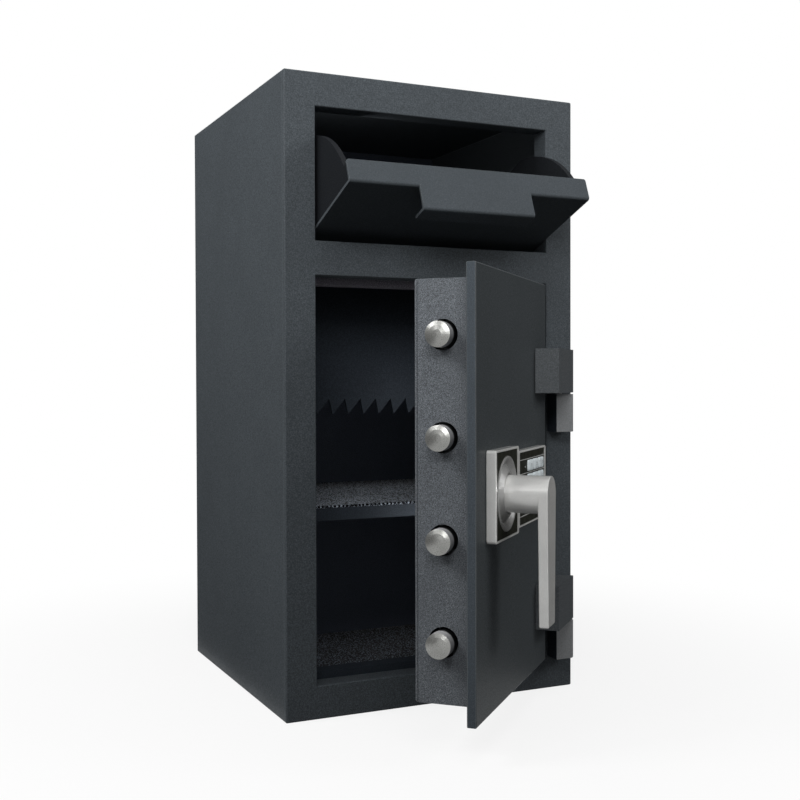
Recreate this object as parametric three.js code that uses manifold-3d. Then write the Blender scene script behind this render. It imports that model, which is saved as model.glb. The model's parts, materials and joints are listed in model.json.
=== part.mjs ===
// Drop safe with a tilting deposit drawer above a hinged door.
// Millimetres. The drawing datum is the front left bottom corner of the cabinet: +X runs to the
// right, +Y into the safe and +Z up. The whole group is moved at the end, so that its origin is
// the centre of the base. Door and drawer are drawn closed and then turned to their open places.

import * as THREE from 'three';
import { mergeVertices } from 'three/addons/utils/BufferGeometryUtils.js';
import Module from 'manifold-3d';

// Clearances and the fineness of round forms
const seatGap = 0.3;
const runningGap = 0.1;
const cutOverrun = 6;
const shaftFacets = 32;
const ringFacets = 48;
const coveFacets = 72;
const cornerSteps = 3;
const bevelSteps = 2;

// Cabinet
const width = 355.6;
const depth = 355.6;
const height = 685.8;
const wall = 5;
const cornerRound = 2;
const faceRound = 1.6;

// Front frame: the two openings and the folded channel round them
const jambWidth = 35;
const sillHeight = 36;
const midRailHeight = 36.5;
const drawerOpeningHeight = 141.5;
const headHeight = 35.8;
const frameDepth = 25;
const facePlate = 5;
const returnThick = 4;
const drawerSillThick = 9.5;
const mouthChamfer = 0.8;

// Channel rails behind the frame
const railDepth = 21;
const railSheet = 3;
const railHeightTop = 20;
const railBeyondOpening = 8;

// Chute deck and sawtooth baffle
const deckSheet = 3;
const deckBelowOpening = 11.5;
const deckFall = 13;
const deckRun = 93;
const deckBeadFrom = 48;
const deckBeadWidth = 8;
const baffleSheet = 3;
const baffleTipDrop = 150.5;
const toothStart = 12.6;
const toothHeight = 17.5;
const toothPitch = 19.8;
const toothSteep = 3.6;
const toothFlat = 1.2;
const baffleRise = 2;

// Shelf, its ledges and the carpets
const shelfHeightShare = 0.413;
const shelfSetback = 72;
const shelfSheet = 2;
const shelfLip = 14.5;
const carpetThick = 2.5;
const ledgeLeg = 14;
const ledgeSheet = 2.5;
const ledgeInset = 12;

// Door plate
const doorThick = 9.5;
const latchGap = 2;
const hingeGap = 4;
const doorEndGap = 2;
const doorChamfer = 0.7;
const stopOverlap = 1.5;
const stopLengthShare = 0.5;
const doorOpenAngle = THREE.MathUtils.degToRad(44.5);

// Hinges: two pairs of blocks on one upright pin line
const pinBeyondJamb = 9.4;
const pinForward = 12.5;
const pinRadius = 4;
const pinDepthInBlock = 30;
const hingeStandOff = 0.5;
const doorBlockHeight = 49.5;
const doorBlockProud = 27.2;
const doorBlockOverlap = 51;
const hingeHeightShares = { lower: 0.1078, upper: 0.711 };
const bodyBlockHeight = 43.5;
const bodyBlockProud = 20;
const bodyBlockLeft = 7.5;
const bodyBlockRight = 18;
const bodyBlockChamfer = 4.4;
const hingeLift = 1.8;

// Box behind the door plate
const boxInsetLatch = 24;
const boxInsetHinge = 14;
const boxInsetEnds = 12.3;
const boxDepth = 59;
const boxSheet = 3;
const coverSheet = 2.7;
const coverRound = 3;
const deadBarReach = 27;
const deadBarSheet = 6;
const deadBarFoot = 24;
const deadBarDepth = 30;
const deadBarInset = 50;

// Round bolts
const boltCount = 4;
const boltRadius = 12.5;
const boltClearance = 2;
const boltDepth = 40;
const lowestBolt = 72;
const highestBolt = 66;
const boltProtrusion = 19;
const boltDome = 2.6;
const domeSteps = 3;

// Rack and pinion
const gearModule = 1.75;
const pinionTeeth = 16;
const pressureAngle = THREE.MathUtils.degToRad(20);
const addendumShare = 0.9;
const dedendumShare = 1.15;
const gearBacklash = 0.28;
const pinionThick = 6;
const rackTeethBefore = 2;
const rackTeethAfter = 6;
const rackBack = 9;
const rackSpare = 4;

// Boltwork carriage and its guide studs
const carriageSheet = 5;
const carriageClear = 1.3;
const carriageEnds = 18;
const armHeight = 16;
const armEnd = 6;
const studFromSpine = 25;
const studRadius = 4;
const studCollar = 6.5;
const studHead = 7;
const studHeadThick = 3;

// Lock: a case on the plate and a bolt that rises beside a lug on the lower arm
const lugDrop = 10;
const lugWidth = 8;
const lockCaseClear = 2;
const lockCaseFootGap = 6.7;
const lockCaseDepth = 32;
const lockCaseLeft = 63;
const lockCaseWidth = 85;
const lockCaseRound = 4;
const lockBoltWidth = 12;
const lockBoltThick = 6;
const lockBoltLength = 28;
const lockBoltChamfer = 1;

// Handle
const handleFromLatch = 74;
const handleHeightShare = 0.4893;
const handlePlateLeft = 32.5;
const handlePlateWidth = 87;
const handlePlateDrop = 44.6;
const handlePlateHeight = 89;
const handlePlateThick = 10;
const handlePlateRound = 3;
const handlePlateBevel = 0.5;
const inlayThick = 0.9;
const inlayBorderLeft = 3.2;
const inlayBorderRight = 6;
const inlayBorderEnds = 2.2;
const ringRadius = 37;
const ringInner = 19.8;
const ringPocket = 4.5;
const ringRim = 0.9;
const ringRimWidth = 1.6;
const ringInnerRim = 1.9;
const ringDishRadius = 29;
const ringDishDepth = 2.4;
const hubRadius = 18.5;
const leverFront = 54;
const leverThick = 9.6;
const leverLength = 126.8;
const leverTipHalf = 14;
const leverTipRound = 1.2;
const leverBevel = 0.8;
const spindleRadius = 6;
const spindleInLever = 32;
const spindleTail = 4;

// Keypad
const keypadGap = 2;
const keypadWidthShare = 0.7654;
const keypadBelowHandle = 40.4;
const keypadHeight = 79;
const keypadThick = 9;
const keypadRound = 3;
const keypadBevel = 0.8;
const keypadBorderShare = 0.0413;
const keypadBorderEnds = 2;
const fasciaSink = 0.7;
const fasciaThick = 2;
const cavityInset = 2.5;
const cavityFloor = 2.2;
const keyColumns = 3;
const keyRows = 4;
const keyPitchShare = 0.1942;
const keyPitchZ = 14.6;
const keyWidthShare = 0.1719;
const keyHeight = 11.3;
const keyRound = 2;
const keyProud = 2.2;
const keyBevel = 0.8;
const keyFlange = 0.8;
const keyFlangeThick = 1;
const firstKeyShare = 0.4132;
const firstKeyZ = 17.7;
const ledShare = 0.2331;
const ledFromFoot = 61;
const ledRadius = 2;
const ledProud = 0.8;

// Deposit drawer, with sizes as it stands closed
const drawerSideGap = 1.5;
const drawerFootGap = 2.5;
const drawerHeadGap = 2.5;
const drawerSheet = 3;
const drawerBend = 3;
const flangeDepth = 25;
const flangeRound = 2.5;
const tabLeft = 77;
const tabWidth = 131;
const tabReach = 26;
const tabDrop = 22;
const tabRound = 2;
const drawerPivotDepth = 20;
const drawerPivotRise = 28;
const drawerPinRadius = 3;
const drawerPinHead = 6;
const drawerPinHeadThick = 3;
const drawerOpenAngle = THREE.MathUtils.degToRad(69.4);
const coveGap = 0.6;
const cheekSheet = 6;
const cheekInset = 1.5;
const cheekArcRadius = 128.5;
const cheekArcSetback = 17;
const cheekArcAboveFoot = 2.5;
const trayRun = 102;
const trayFall = 11;
const cheekRearRise = 34;
const lugRadius = 3;
const lugReach = 5;
const lugAbovePivot = 72;

// Finishes
const finishes = {
  bodyPaint: { color: '#46494b', roughness: 0.6, metalness: 0.2 },
  doorPaint: { color: '#303436', roughness: 0.6, metalness: 0.2 },
  innerPaint: { color: '#2b2d2f', roughness: 0.7, metalness: 0.1 },
  carpet: { color: '#2f2f31', roughness: 1, metalness: 0 },
  steel: { color: '#b9babd', roughness: 0.35, metalness: 0.9 },
  satinSilver: { color: '#a5a7a6', roughness: 0.4, metalness: 0.7 },
  darkInlay: { color: '#202224', roughness: 0.5, metalness: 0.1 },
  keyPlastic: { color: '#c3ced6', roughness: 0.5, metalness: 0 },
  ledLens: { color: '#c9cdd0', roughness: 0.3, metalness: 0 },
};

// Places that follow from the sizes above
const openingLeft = jambWidth;
const openingRight = width - jambWidth;
const doorOpeningFoot = sillHeight;
const drawerOpeningHead = height - headHeight;
const drawerOpeningFoot = drawerOpeningHead - drawerOpeningHeight;
const doorOpeningHead = drawerOpeningFoot - midRailHeight;
const doorOpeningHeight = doorOpeningHead - doorOpeningFoot;
const shelfTop = doorOpeningFoot + shelfHeightShare * doorOpeningHeight;
const railFoot = doorOpeningHead - railBeyondOpening;
const railHead = railFoot + railHeightTop;
const deckFront = drawerOpeningFoot - deckBelowOpening;
const innerRight = width - wall;
const innerBack = depth - wall;
const innerHead = height - wall;

const doorLeft = openingLeft + latchGap;
const doorRight = openingRight - hingeGap;
const doorFoot = doorOpeningFoot + doorEndGap;
const doorHead = doorOpeningHead - doorEndGap;
const pinX = openingRight + pinBeyondJamb;
const pinY = -pinForward;
const hingeFeet = {
  lower: doorOpeningFoot + hingeHeightShares.lower * doorOpeningHeight,
  upper: doorOpeningFoot + hingeHeightShares.upper * doorOpeningHeight,
};
const boxFront = doorThick + seatGap;
const boxBack = doorThick + boxDepth;
const boxLeft = doorLeft + boxInsetLatch;
const boxRight = doorRight - boxInsetHinge;
const boxFoot = doorFoot + boxInsetEnds;
const boxHead = doorHead - boxInsetEnds;
const coverFront = boxBack - coverSheet;

const pitchRadius = gearModule * pinionTeeth / 2;
const boltThrow = pitchRadius * Math.PI / 2;
const boltTip = boxLeft - boltProtrusion;
const boltTail = boxLeft + boxSheet + boltThrow + carriageClear;
const boltPitch = (doorHead - highestBolt - doorFoot - lowestBolt) / (boltCount - 1);
const boltHeights = Array.from({ length: boltCount }, (_, i) => doorFoot + lowestBolt + i * boltPitch);
const spineLeft = boltTail + seatGap;
const spineRight = spineLeft + carriageSheet;
const plateFront = boltDepth - carriageSheet / 2;
const plateBack = boltDepth + carriageSheet / 2;
const studX = spineRight + studFromSpine;
const slotHalf = studRadius + seatGap;
const armRight = studX + boltThrow + slotHalf + armEnd;
const lowerArm = (boltHeights[0] + boltHeights[1]) / 2;
const upperArm = (boltHeights[2] + boltHeights[3]) / 2;

const handleX = doorLeft + handleFromLatch;
const handleZ = doorFoot + handleHeightShare * (doorHead - doorFoot);

const drawerLeft = openingLeft + drawerSideGap;
const drawerRight = openingRight - drawerSideGap;
const drawerFoot = drawerOpeningFoot + drawerFootGap;
const drawerHead = drawerOpeningHead - drawerHeadGap;
const drawerPivotY = drawerPivotDepth;
const drawerPivotZ = drawerOpeningFoot + drawerPivotRise;
const heelRadius = Math.hypot(drawerPivotDepth, drawerPivotZ - drawerFoot);
const trayRear = drawerSheet + seatGap + trayRun;
const trayRearFoot = drawerFoot - trayFall;

const wasm = await Module();
wasm.setup();

// A closed mesh becomes a solid that can be joined and cut.
function solidOf(geometry) {
  const bare = geometry.clone();
  bare.deleteAttribute('normal');
  bare.deleteAttribute('uv');
  const merged = mergeVertices(bare);
  return new wasm.Manifold(new wasm.Mesh({
    numProp: 3,
    vertProperties: merged.attributes.position.array,
    triVerts: new Uint32Array(merged.index.array),
  }));
}

function geometryOf(solid) {
  const mesh = solid.getMesh();
  const geometry = new THREE.BufferGeometry();
  geometry.setAttribute('position', new THREE.BufferAttribute(mesh.vertProperties, 3));
  geometry.setIndex(new THREE.BufferAttribute(mesh.triVerts, 1));
  geometry.computeVertexNormals();
  return geometry;
}

function join(...geometries) {
  return geometryOf(geometries.map(solidOf).reduce((whole, piece) => whole.add(piece)));
}

function cut(blank, ...tools) {
  return geometryOf(tools.map(solidOf).reduce((whole, tool) => whole.subtract(tool), solidOf(blank)));
}

function common(a, b) {
  return geometryOf(solidOf(a).intersect(solidOf(b)));
}

// A box between two limits on each axis, with corners exactly there.
function block([x0, x1], [y0, y1], [z0, z1]) {
  const geometry = new THREE.BoxGeometry(1, 1, 1);
  const corners = geometry.attributes.position;
  for (let i = 0; i < corners.count; i += 1) {
    corners.setXYZ(
      i,
      corners.getX(i) < 0 ? x0 : x1,
      corners.getY(i) < 0 ? y0 : y1,
      corners.getZ(i) < 0 ? z0 : z1,
    );
  }
  return geometry;
}

// An outline drawn through points, and the usual rounded ones.
function outline(points) {
  return new THREE.Shape(points.map(([u, v]) => new THREE.Vector2(u, v)));
}

function roundedRectangle(u0, u1, v0, v1, radius, Kind = THREE.Shape) {
  const shape = new Kind();
  const quarter = Math.PI / 2;
  shape.absarc(u1 - radius, v0 + radius, radius, -quarter, 0);
  shape.absarc(u1 - radius, v1 - radius, radius, 0, quarter);
  shape.absarc(u0 + radius, v1 - radius, radius, quarter, 2 * quarter);
  shape.absarc(u0 + radius, v0 + radius, radius, 2 * quarter, 3 * quarter);
  shape.closePath();
  return shape;
}

function polygonPoints(u, v, radius, facets) {
  return Array.from({ length: facets }, (_, i) => {
    const angle = 2 * Math.PI * i / facets;
    return [u + radius * Math.cos(angle), v + radius * Math.sin(angle)];
  });
}

function disc(u, v, radius, facets = shaftFacets) {
  return outline(polygonPoints(u, v, radius, facets));
}

// The radius at which a faceted hole clears a turning shaft.
function bearingRadius(radius, facets = shaftFacets) {
  return (radius + runningGap) / Math.cos(Math.PI / facets);
}

// A prism along an axis. Outlines are drawn in (Y, Z) for x, (X, Z) for y and (X, Y) for z.
function prism(axis, shape, from, to, steps = cornerSteps) {
  const geometry = new THREE.ExtrudeGeometry(shape, { depth: 1, bevelEnabled: false, curveSegments: steps });
  const place = {
    x: (u, v, far) => [far ? to : from, u, v],
    y: (u, v, far) => [u, far ? from : to, v],
    z: (u, v, far) => [u, v, far ? to : from],
  }[axis];
  const corners = geometry.attributes.position;
  for (let i = 0; i < corners.count; i += 1) {
    const far = corners.getZ(i) * 2 > 1;
    corners.setXYZ(i, ...place(corners.getX(i), corners.getY(i), far));
  }
  return geometry;
}

// A plate along Y whose outer edges are rounded at both faces.
function roundedPlate(shape, from, to, bevel, steps = bevelSteps) {
  const geometry = new THREE.ExtrudeGeometry(shape, {
    depth: to - from - 2 * bevel,
    bevelThickness: bevel,
    bevelSize: bevel,
    bevelOffset: -bevel,
    bevelSegments: steps,
    curveSegments: cornerSteps,
  });
  geometry.rotateX(Math.PI / 2);
  geometry.translate(0, to - bevel, 0);
  return geometry;
}

// The flared cutter that breaks the front edge of an opening.
function flaredMouth([x0, x1], [z0, z1]) {
  const geometry = new THREE.ExtrudeGeometry(outline([[x0, z0], [x1, z0], [x1, z1], [x0, z1]]), {
    depth: cutOverrun,
    bevelThickness: mouthChamfer,
    bevelSize: mouthChamfer,
    bevelSegments: 1,
  });
  geometry.rotateX(Math.PI / 2);
  return geometry;
}

// A turned piece: profile points are [radius, place along the axis].
function turned(profile, facets = shaftFacets) {
  const points = profile.map(([r, along]) => new THREE.Vector2(r, along));
  return new THREE.LatheGeometry(points, facets);
}

function part(name, geometry, finish) {
  const mesh = new THREE.Mesh(geometry, new THREE.MeshStandardMaterial(finishes[finish]));
  mesh.name = name;
  return mesh;
}

// Pieces drawn at one angle of a pivot are turned about it. The inner group is returned.
function turnedAbout(parent, [x, y, z], axis, angle) {
  const pivot = new THREE.Group();
  pivot.position.set(x, y, z);
  pivot.rotateOnAxis(axis, angle);
  const inner = new THREE.Group();
  inner.position.set(-x, -y, -z);
  pivot.add(inner);
  parent.add(pivot);
  return inner;
}

// Cabinet: wrapped body and back panel
function bodyWrap() {
  const blank = roundedPlate(
    roundedRectangle(0, width, 0, height, cornerRound), facePlate - cutOverrun, depth, faceRound);
  const hollow = block([wall, innerRight], [-cutOverrun, depth + cutOverrun], [wall, innerHead]);
  const frontWaste = block(
    [-cutOverrun, width + cutOverrun], [-cutOverrun, facePlate], [-cutOverrun, height + cutOverrun]);
  return cut(blank, hollow, frontWaste);
}

// Front frame: a face plate with a folded return round each opening. The sill under the drawer is
// coved for the drawer's heel, and the jambs are bored for its pivot studs.
function frontFrame() {
  const blank = roundedPlate(
    roundedRectangle(0, width, 0, height, cornerRound), 0, facePlate + cutOverrun, faceRound);
  const rearWaste = block(
    [-cutOverrun, width + cutOverrun], [facePlate, facePlate + 2 * cutOverrun],
    [-cutOverrun, height + cutOverrun]);
  const openings = [
    { foot: doorOpeningFoot, head: doorOpeningHead, footReturn: returnThick },
    { foot: drawerOpeningFoot, head: drawerOpeningHead, footReturn: drawerSillThick },
  ];
  const returns = openings.map(({ foot, head, footReturn }) => block(
    [openingLeft - returnThick, openingRight + returnThick], [facePlate - mouthChamfer, frameDepth],
    [foot - footReturn, head + returnThick]));
  const windows = openings.map(({ foot, head }) => block(
    [openingLeft, openingRight], [-cutOverrun, frameDepth + cutOverrun], [foot, head]));
  const mouths = openings.map(({ foot, head }) => flaredMouth([openingLeft, openingRight], [foot, head]));
  const cove = prism(
    'x', disc(drawerPivotY, drawerPivotZ, heelRadius + coveGap, coveFacets), openingLeft, openingRight);
  const pivotBore = prism(
    'x', disc(drawerPivotY, drawerPivotZ, drawerPinRadius + seatGap),
    openingLeft - returnThick - cutOverrun, openingRight + returnThick + cutOverrun);
  return cut(join(cut(blank, rearWaste), ...returns), ...windows, ...mouths, cove, pivotBore);
}

// A channel of folded sheet across the cabinet, open above or below.
function channelRail(foot, head, openAbove) {
  const front = frameDepth;
  const back = frameDepth + railDepth;
  const web = openAbove
    ? [[front, foot], [back, foot], [back, head], [back - railSheet, head],
      [back - railSheet, foot + railSheet], [front + railSheet, foot + railSheet],
      [front + railSheet, head], [front, head]]
    : [[front, foot], [front + railSheet, foot], [front + railSheet, head - railSheet],
      [back - railSheet, head - railSheet], [back - railSheet, foot], [back, foot],
      [back, head], [front, head]];
  return prism('x', outline(web), wall, innerRight);
}

// Chute deck: a lip on the rail behind the frame, a slope to the baffle and a bead where the tray rests.
function chuteDeck() {
  const front = frameDepth;
  const back = frameDepth + deckRun;
  const slope = deckFall / deckRun;
  const top = (y) => deckFront - slope * (y - front);
  const beadFrom = front + deckBeadFrom;
  const beadTo = beadFrom + deckBeadWidth;
  const trayFoot = (y) => drawerFoot - trayFall * (y - drawerSheet - seatGap) / trayRun;
  const beadTop = trayFoot(beadTo) - seatGap;
  const profile = [
    [front, railHead],
    [front + deckSheet, railHead],
    [front + deckSheet, top(front + deckSheet) - deckSheet],
    [back, top(back) - deckSheet],
    [back, top(back)],
    [beadTo, top(beadTo)],
    [beadTo, beadTop],
    [beadFrom, beadTop],
    [beadFrom, top(beadFrom)],
    [front, deckFront],
  ];
  return prism('x', outline(profile), wall, innerRight);
}

// Sawtooth baffle: each tooth has a steep side, a narrow flat tip and a long slant.
function sawtoothBaffle() {
  const front = frameDepth + deckRun;
  const head = deckFront - deckFall + baffleRise;
  const tip = doorOpeningHead - baffleTipDrop;
  const root = tip + toothHeight;
  const first = wall + toothStart;
  const teeth = Math.floor((innerRight - first) / toothPitch);
  const points = [[wall, root]];
  for (let i = 0; i < teeth; i += 1) {
    const x = first + i * toothPitch;
    points.push([x, root]);
    points.push([x + toothSteep, tip]);
    points.push([x + toothSteep + toothFlat, tip]);
  }
  points.push([first + teeth * toothPitch, root], [innerRight, root], [innerRight, head], [wall, head]);
  return prism('y', outline(points), front, front + baffleSheet);
}

// Shelf: a sheet with its front edge folded down.
function shelf() {
  const foot = shelfTop - shelfLip;
  const profile = [
    [shelfSetback, foot],
    [shelfSetback + shelfSheet, foot],
    [shelfSetback + shelfSheet, shelfTop - shelfSheet],
    [innerBack, shelfTop - shelfSheet],
    [innerBack, shelfTop],
    [shelfSetback, shelfTop],
  ];
  return prism('x', outline(profile), wall, innerRight);
}

// Shelf ledge: an angle with one leg on the wall and one under the shelf.
function shelfLedge(side) {
  const foot = shelfTop - shelfSheet - ledgeLeg;
  const head = shelfTop - shelfSheet;
  const at = (reach) => (side === 'left' ? wall + reach : innerRight - reach);
  const profile = [
    [at(0), foot], [at(ledgeSheet), foot], [at(ledgeSheet), head - ledgeSheet],
    [at(ledgeLeg), head - ledgeSheet], [at(ledgeLeg), head], [at(0), head],
  ];
  const points = side === 'left' ? profile : profile.reverse();
  return prism('y', outline(points), shelfSetback + ledgeInset, innerBack);
}

function cabinet() {
  const group = new THREE.Group();
  const compartment = [wall, innerRight];
  const stopMiddle = (boltHeights[1] + boltHeights[2]) / 2;
  const stopHalf = boltPitch * stopLengthShare / 2;
  group.add(
    part('body_wrap', bodyWrap(), 'bodyPaint'),
    part('back_panel', block([wall, innerRight], [innerBack, depth], [wall, innerHead]), 'bodyPaint'),
    part('front_frame', frontFrame(), 'bodyPaint'),
    part('frame_rail_top', channelRail(railFoot, railHead, true), 'innerPaint'),
    part('frame_rail_bottom', channelRail(wall, doorOpeningFoot + railBeyondOpening, false), 'innerPaint'),
    part('door_stop_pad', block(
      [openingLeft, doorLeft + stopOverlap], [doorThick + seatGap, frameDepth],
      [stopMiddle - stopHalf, stopMiddle + stopHalf]), 'innerPaint'),
    part('chute_deck', chuteDeck(), 'innerPaint'),
    part('sawtooth_baffle', sawtoothBaffle(), 'innerPaint'),
    part('shelf', shelf(), 'innerPaint'),
    part('shelf_carpet', block(
      compartment, [shelfSetback, innerBack], [shelfTop, shelfTop + carpetThick]), 'carpet'),
    part('floor_carpet', block(
      compartment, [frameDepth + railDepth, innerBack], [wall, wall + carpetThick]), 'carpet'),
    part('shelf_ledge_left', shelfLedge('left'), 'innerPaint'),
    part('shelf_ledge_right', shelfLedge('right'), 'innerPaint'),
  );
  return group;
}

// Hinges: the body blocks stand on the face, and their pins carry the door blocks.
function bodyBlock(foot) {
  const left = pinX - bodyBlockLeft;
  const right = pinX + bodyBlockRight;
  const plan = outline([
    [left, -bodyBlockProud],
    [right - bodyBlockChamfer, -bodyBlockProud],
    [right, -bodyBlockProud + bodyBlockChamfer],
    [right, 0],
    [left, 0],
  ]);
  const head = foot + bodyBlockHeight;
  const bore = prism(
    'z', disc(pinX, pinY, pinRadius + seatGap), head - pinDepthInBlock - seatGap, head + cutOverrun);
  return cut(prism('z', plan, foot, head), bore);
}

function doorBlock(foot) {
  const radius = pinForward - hingeStandOff;
  const plan = new THREE.Shape();
  plan.moveTo(doorRight - doorBlockOverlap, -doorBlockProud);
  plan.lineTo(pinX + radius, -doorBlockProud);
  plan.absarc(pinX, pinY, radius, 0, Math.PI / 2);
  plan.lineTo(doorRight - doorBlockOverlap, pinY + radius);
  plan.closePath();
  const head = foot + doorBlockHeight;
  const bore = prism(
    'z', disc(pinX, pinY, bearingRadius(pinRadius)), foot - cutOverrun, foot + pinDepthInBlock + seatGap);
  return cut(prism('z', plan, foot, head, 2 * cornerSteps), bore);
}

function fixedHinges() {
  const group = new THREE.Group();
  Object.entries(hingeFeet).forEach(([place, blockFoot]) => {
    const head = blockFoot - hingeLift;
    group.add(
      part(`hinge_block_body_${place}`, bodyBlock(head - bodyBlockHeight), 'bodyPaint'),
      part(`hinge_pin_${place}`, prism(
        'z', disc(pinX, pinY, pinRadius), head - pinDepthInBlock, blockFoot + pinDepthInBlock), 'steel'),
    );
  });
  return group;
}

// Drawer pivot studs, put in from inside the jamb channel
function drawerPivot(side) {
  const inward = side === 'left' ? 1 : -1;
  const jamb = side === 'left' ? openingLeft : openingRight;
  const outerFace = jamb - inward * (returnThick + seatGap);
  const headEnd = outerFace - inward * drawerPinHeadThick;
  const tip = jamb + inward * (drawerSideGap + cheekInset + cheekSheet + cornerRound);
  const head = prism(
    'x', disc(drawerPivotY, drawerPivotZ, drawerPinHead), Math.min(headEnd, outerFace),
    Math.max(headEnd, outerFace));
  const shank = prism(
    'x', disc(drawerPivotY, drawerPivotZ, drawerPinRadius), Math.min(headEnd, tip), Math.max(headEnd, tip));
  return join(head, shank);
}

// Drawer front: a panel with its head folded back, and a hooked pull tab in line with the fold.
function drawerFront() {
  const profile = new THREE.Shape();
  profile.moveTo(0, drawerFoot);
  profile.lineTo(drawerSheet, drawerFoot);
  profile.lineTo(drawerSheet, drawerHead - drawerSheet);
  profile.lineTo(flangeDepth, drawerHead - drawerSheet);
  profile.lineTo(flangeDepth, drawerHead);
  profile.absarc(drawerBend, drawerHead - drawerBend, drawerBend, Math.PI / 2, Math.PI);
  profile.closePath();
  const folded = prism('x', profile, drawerLeft, drawerRight);
  const plan = roundedRectangle(
    drawerLeft, drawerRight, -2 * flangeRound, flangeDepth, flangeRound);
  const panel = common(folded, prism('z', plan, drawerFoot - cutOverrun, drawerHead + cutOverrun));

  const hook = new THREE.Shape();
  hook.moveTo(-tabReach, drawerHead - tabDrop);
  hook.lineTo(-tabReach + drawerSheet, drawerHead - tabDrop);
  hook.lineTo(-tabReach + drawerSheet, drawerHead - drawerSheet);
  hook.lineTo(2 * drawerBend, drawerHead - drawerSheet);
  hook.lineTo(2 * drawerBend, drawerHead);
  hook.absarc(-tabReach + drawerBend, drawerHead - drawerBend, drawerBend, Math.PI / 2, Math.PI);
  hook.closePath();
  const tab = prism('x', hook, drawerLeft + tabLeft, drawerLeft + tabLeft + tabWidth);
  const front = roundedRectangle(
    drawerLeft + tabLeft, drawerLeft + tabLeft + tabWidth, drawerHead - tabDrop, drawerHead + tabDrop, tabRound);
  const trimmed = common(tab, prism('y', front, -tabReach - cutOverrun, flangeDepth));
  return join(panel, trimmed);
}

// Drawer cheek: a sector with its curved edge upwards, bored for the pivot. Its lug meets the back
// of the jamb when the drawer is fully open.
function drawerCheek(side) {
  const inward = side === 'left' ? 1 : -1;
  const outer = (side === 'left' ? drawerLeft : drawerRight) + inward * cheekInset;
  const inner = outer + inward * cheekSheet;
  const front = drawerSheet + seatGap;
  const flangeUnder = drawerHead - drawerSheet - seatGap;
  const arcY = -cheekArcSetback;
  const arcZ = drawerFoot + cheekArcAboveFoot;
  const arcStart = Math.asin((cheekRearRise - cheekArcAboveFoot) / cheekArcRadius);
  const arcEnd = Math.acos((flangeDepth - cornerRound - arcY) / cheekArcRadius);
  const shape = new THREE.Shape();
  shape.moveTo(front, drawerFoot);
  shape.lineTo(trayRear, trayRearFoot);
  shape.absarc(arcY, arcZ, cheekArcRadius, arcStart, arcEnd);
  shape.lineTo(flangeDepth - cornerRound, flangeUnder);
  shape.lineTo(front, flangeUnder);
  shape.closePath();
  const plate = prism('x', shape, Math.min(inner, outer), Math.max(inner, outer), 4 * cornerSteps);
  const pinHole = prism(
    'x', disc(drawerPivotY, drawerPivotZ, bearingRadius(drawerPinRadius)),
    Math.min(inner, outer) - cutOverrun, Math.max(inner, outer) + cutOverrun);

  // The lug's place in the open drawer, turned back to the closed one
  const lugY = frameDepth + seatGap + lugRadius - drawerPivotY;
  const cos = Math.cos(drawerOpenAngle);
  const sin = Math.sin(drawerOpenAngle);
  const lugCentreY = drawerPivotY + lugY * cos + lugAbovePivot * sin;
  const lugCentreZ = drawerPivotZ - lugY * sin + lugAbovePivot * cos;
  const lugEnd = outer - inward * (cheekInset + lugReach);
  const middle = (inner + outer) / 2;
  const lug = prism(
    'x', disc(lugCentreY, lugCentreZ, lugRadius), Math.min(middle, lugEnd), Math.max(middle, lugEnd));
  return join(cut(plate, pinHole), lug);
}

function drawerTray() {
  const front = drawerSheet + seatGap;
  const profile = outline([
    [front, drawerFoot],
    [trayRear, trayRearFoot],
    [trayRear, trayRearFoot + drawerSheet],
    [front, drawerFoot + drawerSheet],
  ]);
  const side = cheekInset + cheekSheet + seatGap;
  return prism('x', profile, drawerLeft + side, drawerRight - side);
}

function depositDrawer(parent) {
  const drawer = turnedAbout(
    parent, [0, drawerPivotY, drawerPivotZ], new THREE.Vector3(1, 0, 0), drawerOpenAngle);
  drawer.add(
    part('drawer_front', drawerFront(), 'bodyPaint'),
    part('drawer_cheek_left', drawerCheek('left'), 'bodyPaint'),
    part('drawer_cheek_right', drawerCheek('right'), 'bodyPaint'),
    part('drawer_tray', drawerTray(), 'innerPaint'),
  );
}

// Door plate, bored for the spindle
function doorPlate() {
  const plate = roundedPlate(
    outline([[doorLeft, doorFoot], [doorRight, doorFoot], [doorRight, doorHead], [doorLeft, doorHead]]),
    0, doorThick, doorChamfer, 1);
  const bore = prism(
    'y', disc(handleX, handleZ, bearingRadius(spindleRadius)), -cutOverrun, doorThick + cutOverrun);
  return cut(plate, bore);
}

// Bolt frame: four walls of sheet, bored on the latch side for the bolts
function boltFrame() {
  const walls = outline([[boxLeft, boxFoot], [boxRight, boxFoot], [boxRight, boxHead], [boxLeft, boxHead]]);
  walls.holes.push(new THREE.Path([
    [boxLeft + boxSheet, boxFoot + boxSheet], [boxLeft + boxSheet, boxHead - boxSheet],
    [boxRight - boxSheet, boxHead - boxSheet], [boxRight - boxSheet, boxFoot + boxSheet],
  ].map(([x, z]) => new THREE.Vector2(x, z))));
  const tube = prism('y', walls, boxFront, coverFront - seatGap);
  const bores = boltHeights.map((z) => prism(
    'x', disc(boltDepth, z, boltRadius + boltClearance), boxLeft - cutOverrun, boxLeft + 2 * cutOverrun));
  return cut(tube, ...bores);
}

function boltCover() {
  return roundedPlate(
    roundedRectangle(boxLeft, boxRight, boxFoot, boxHead, coverRound), coverFront, boxBack, doorChamfer, 1);
}

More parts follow.
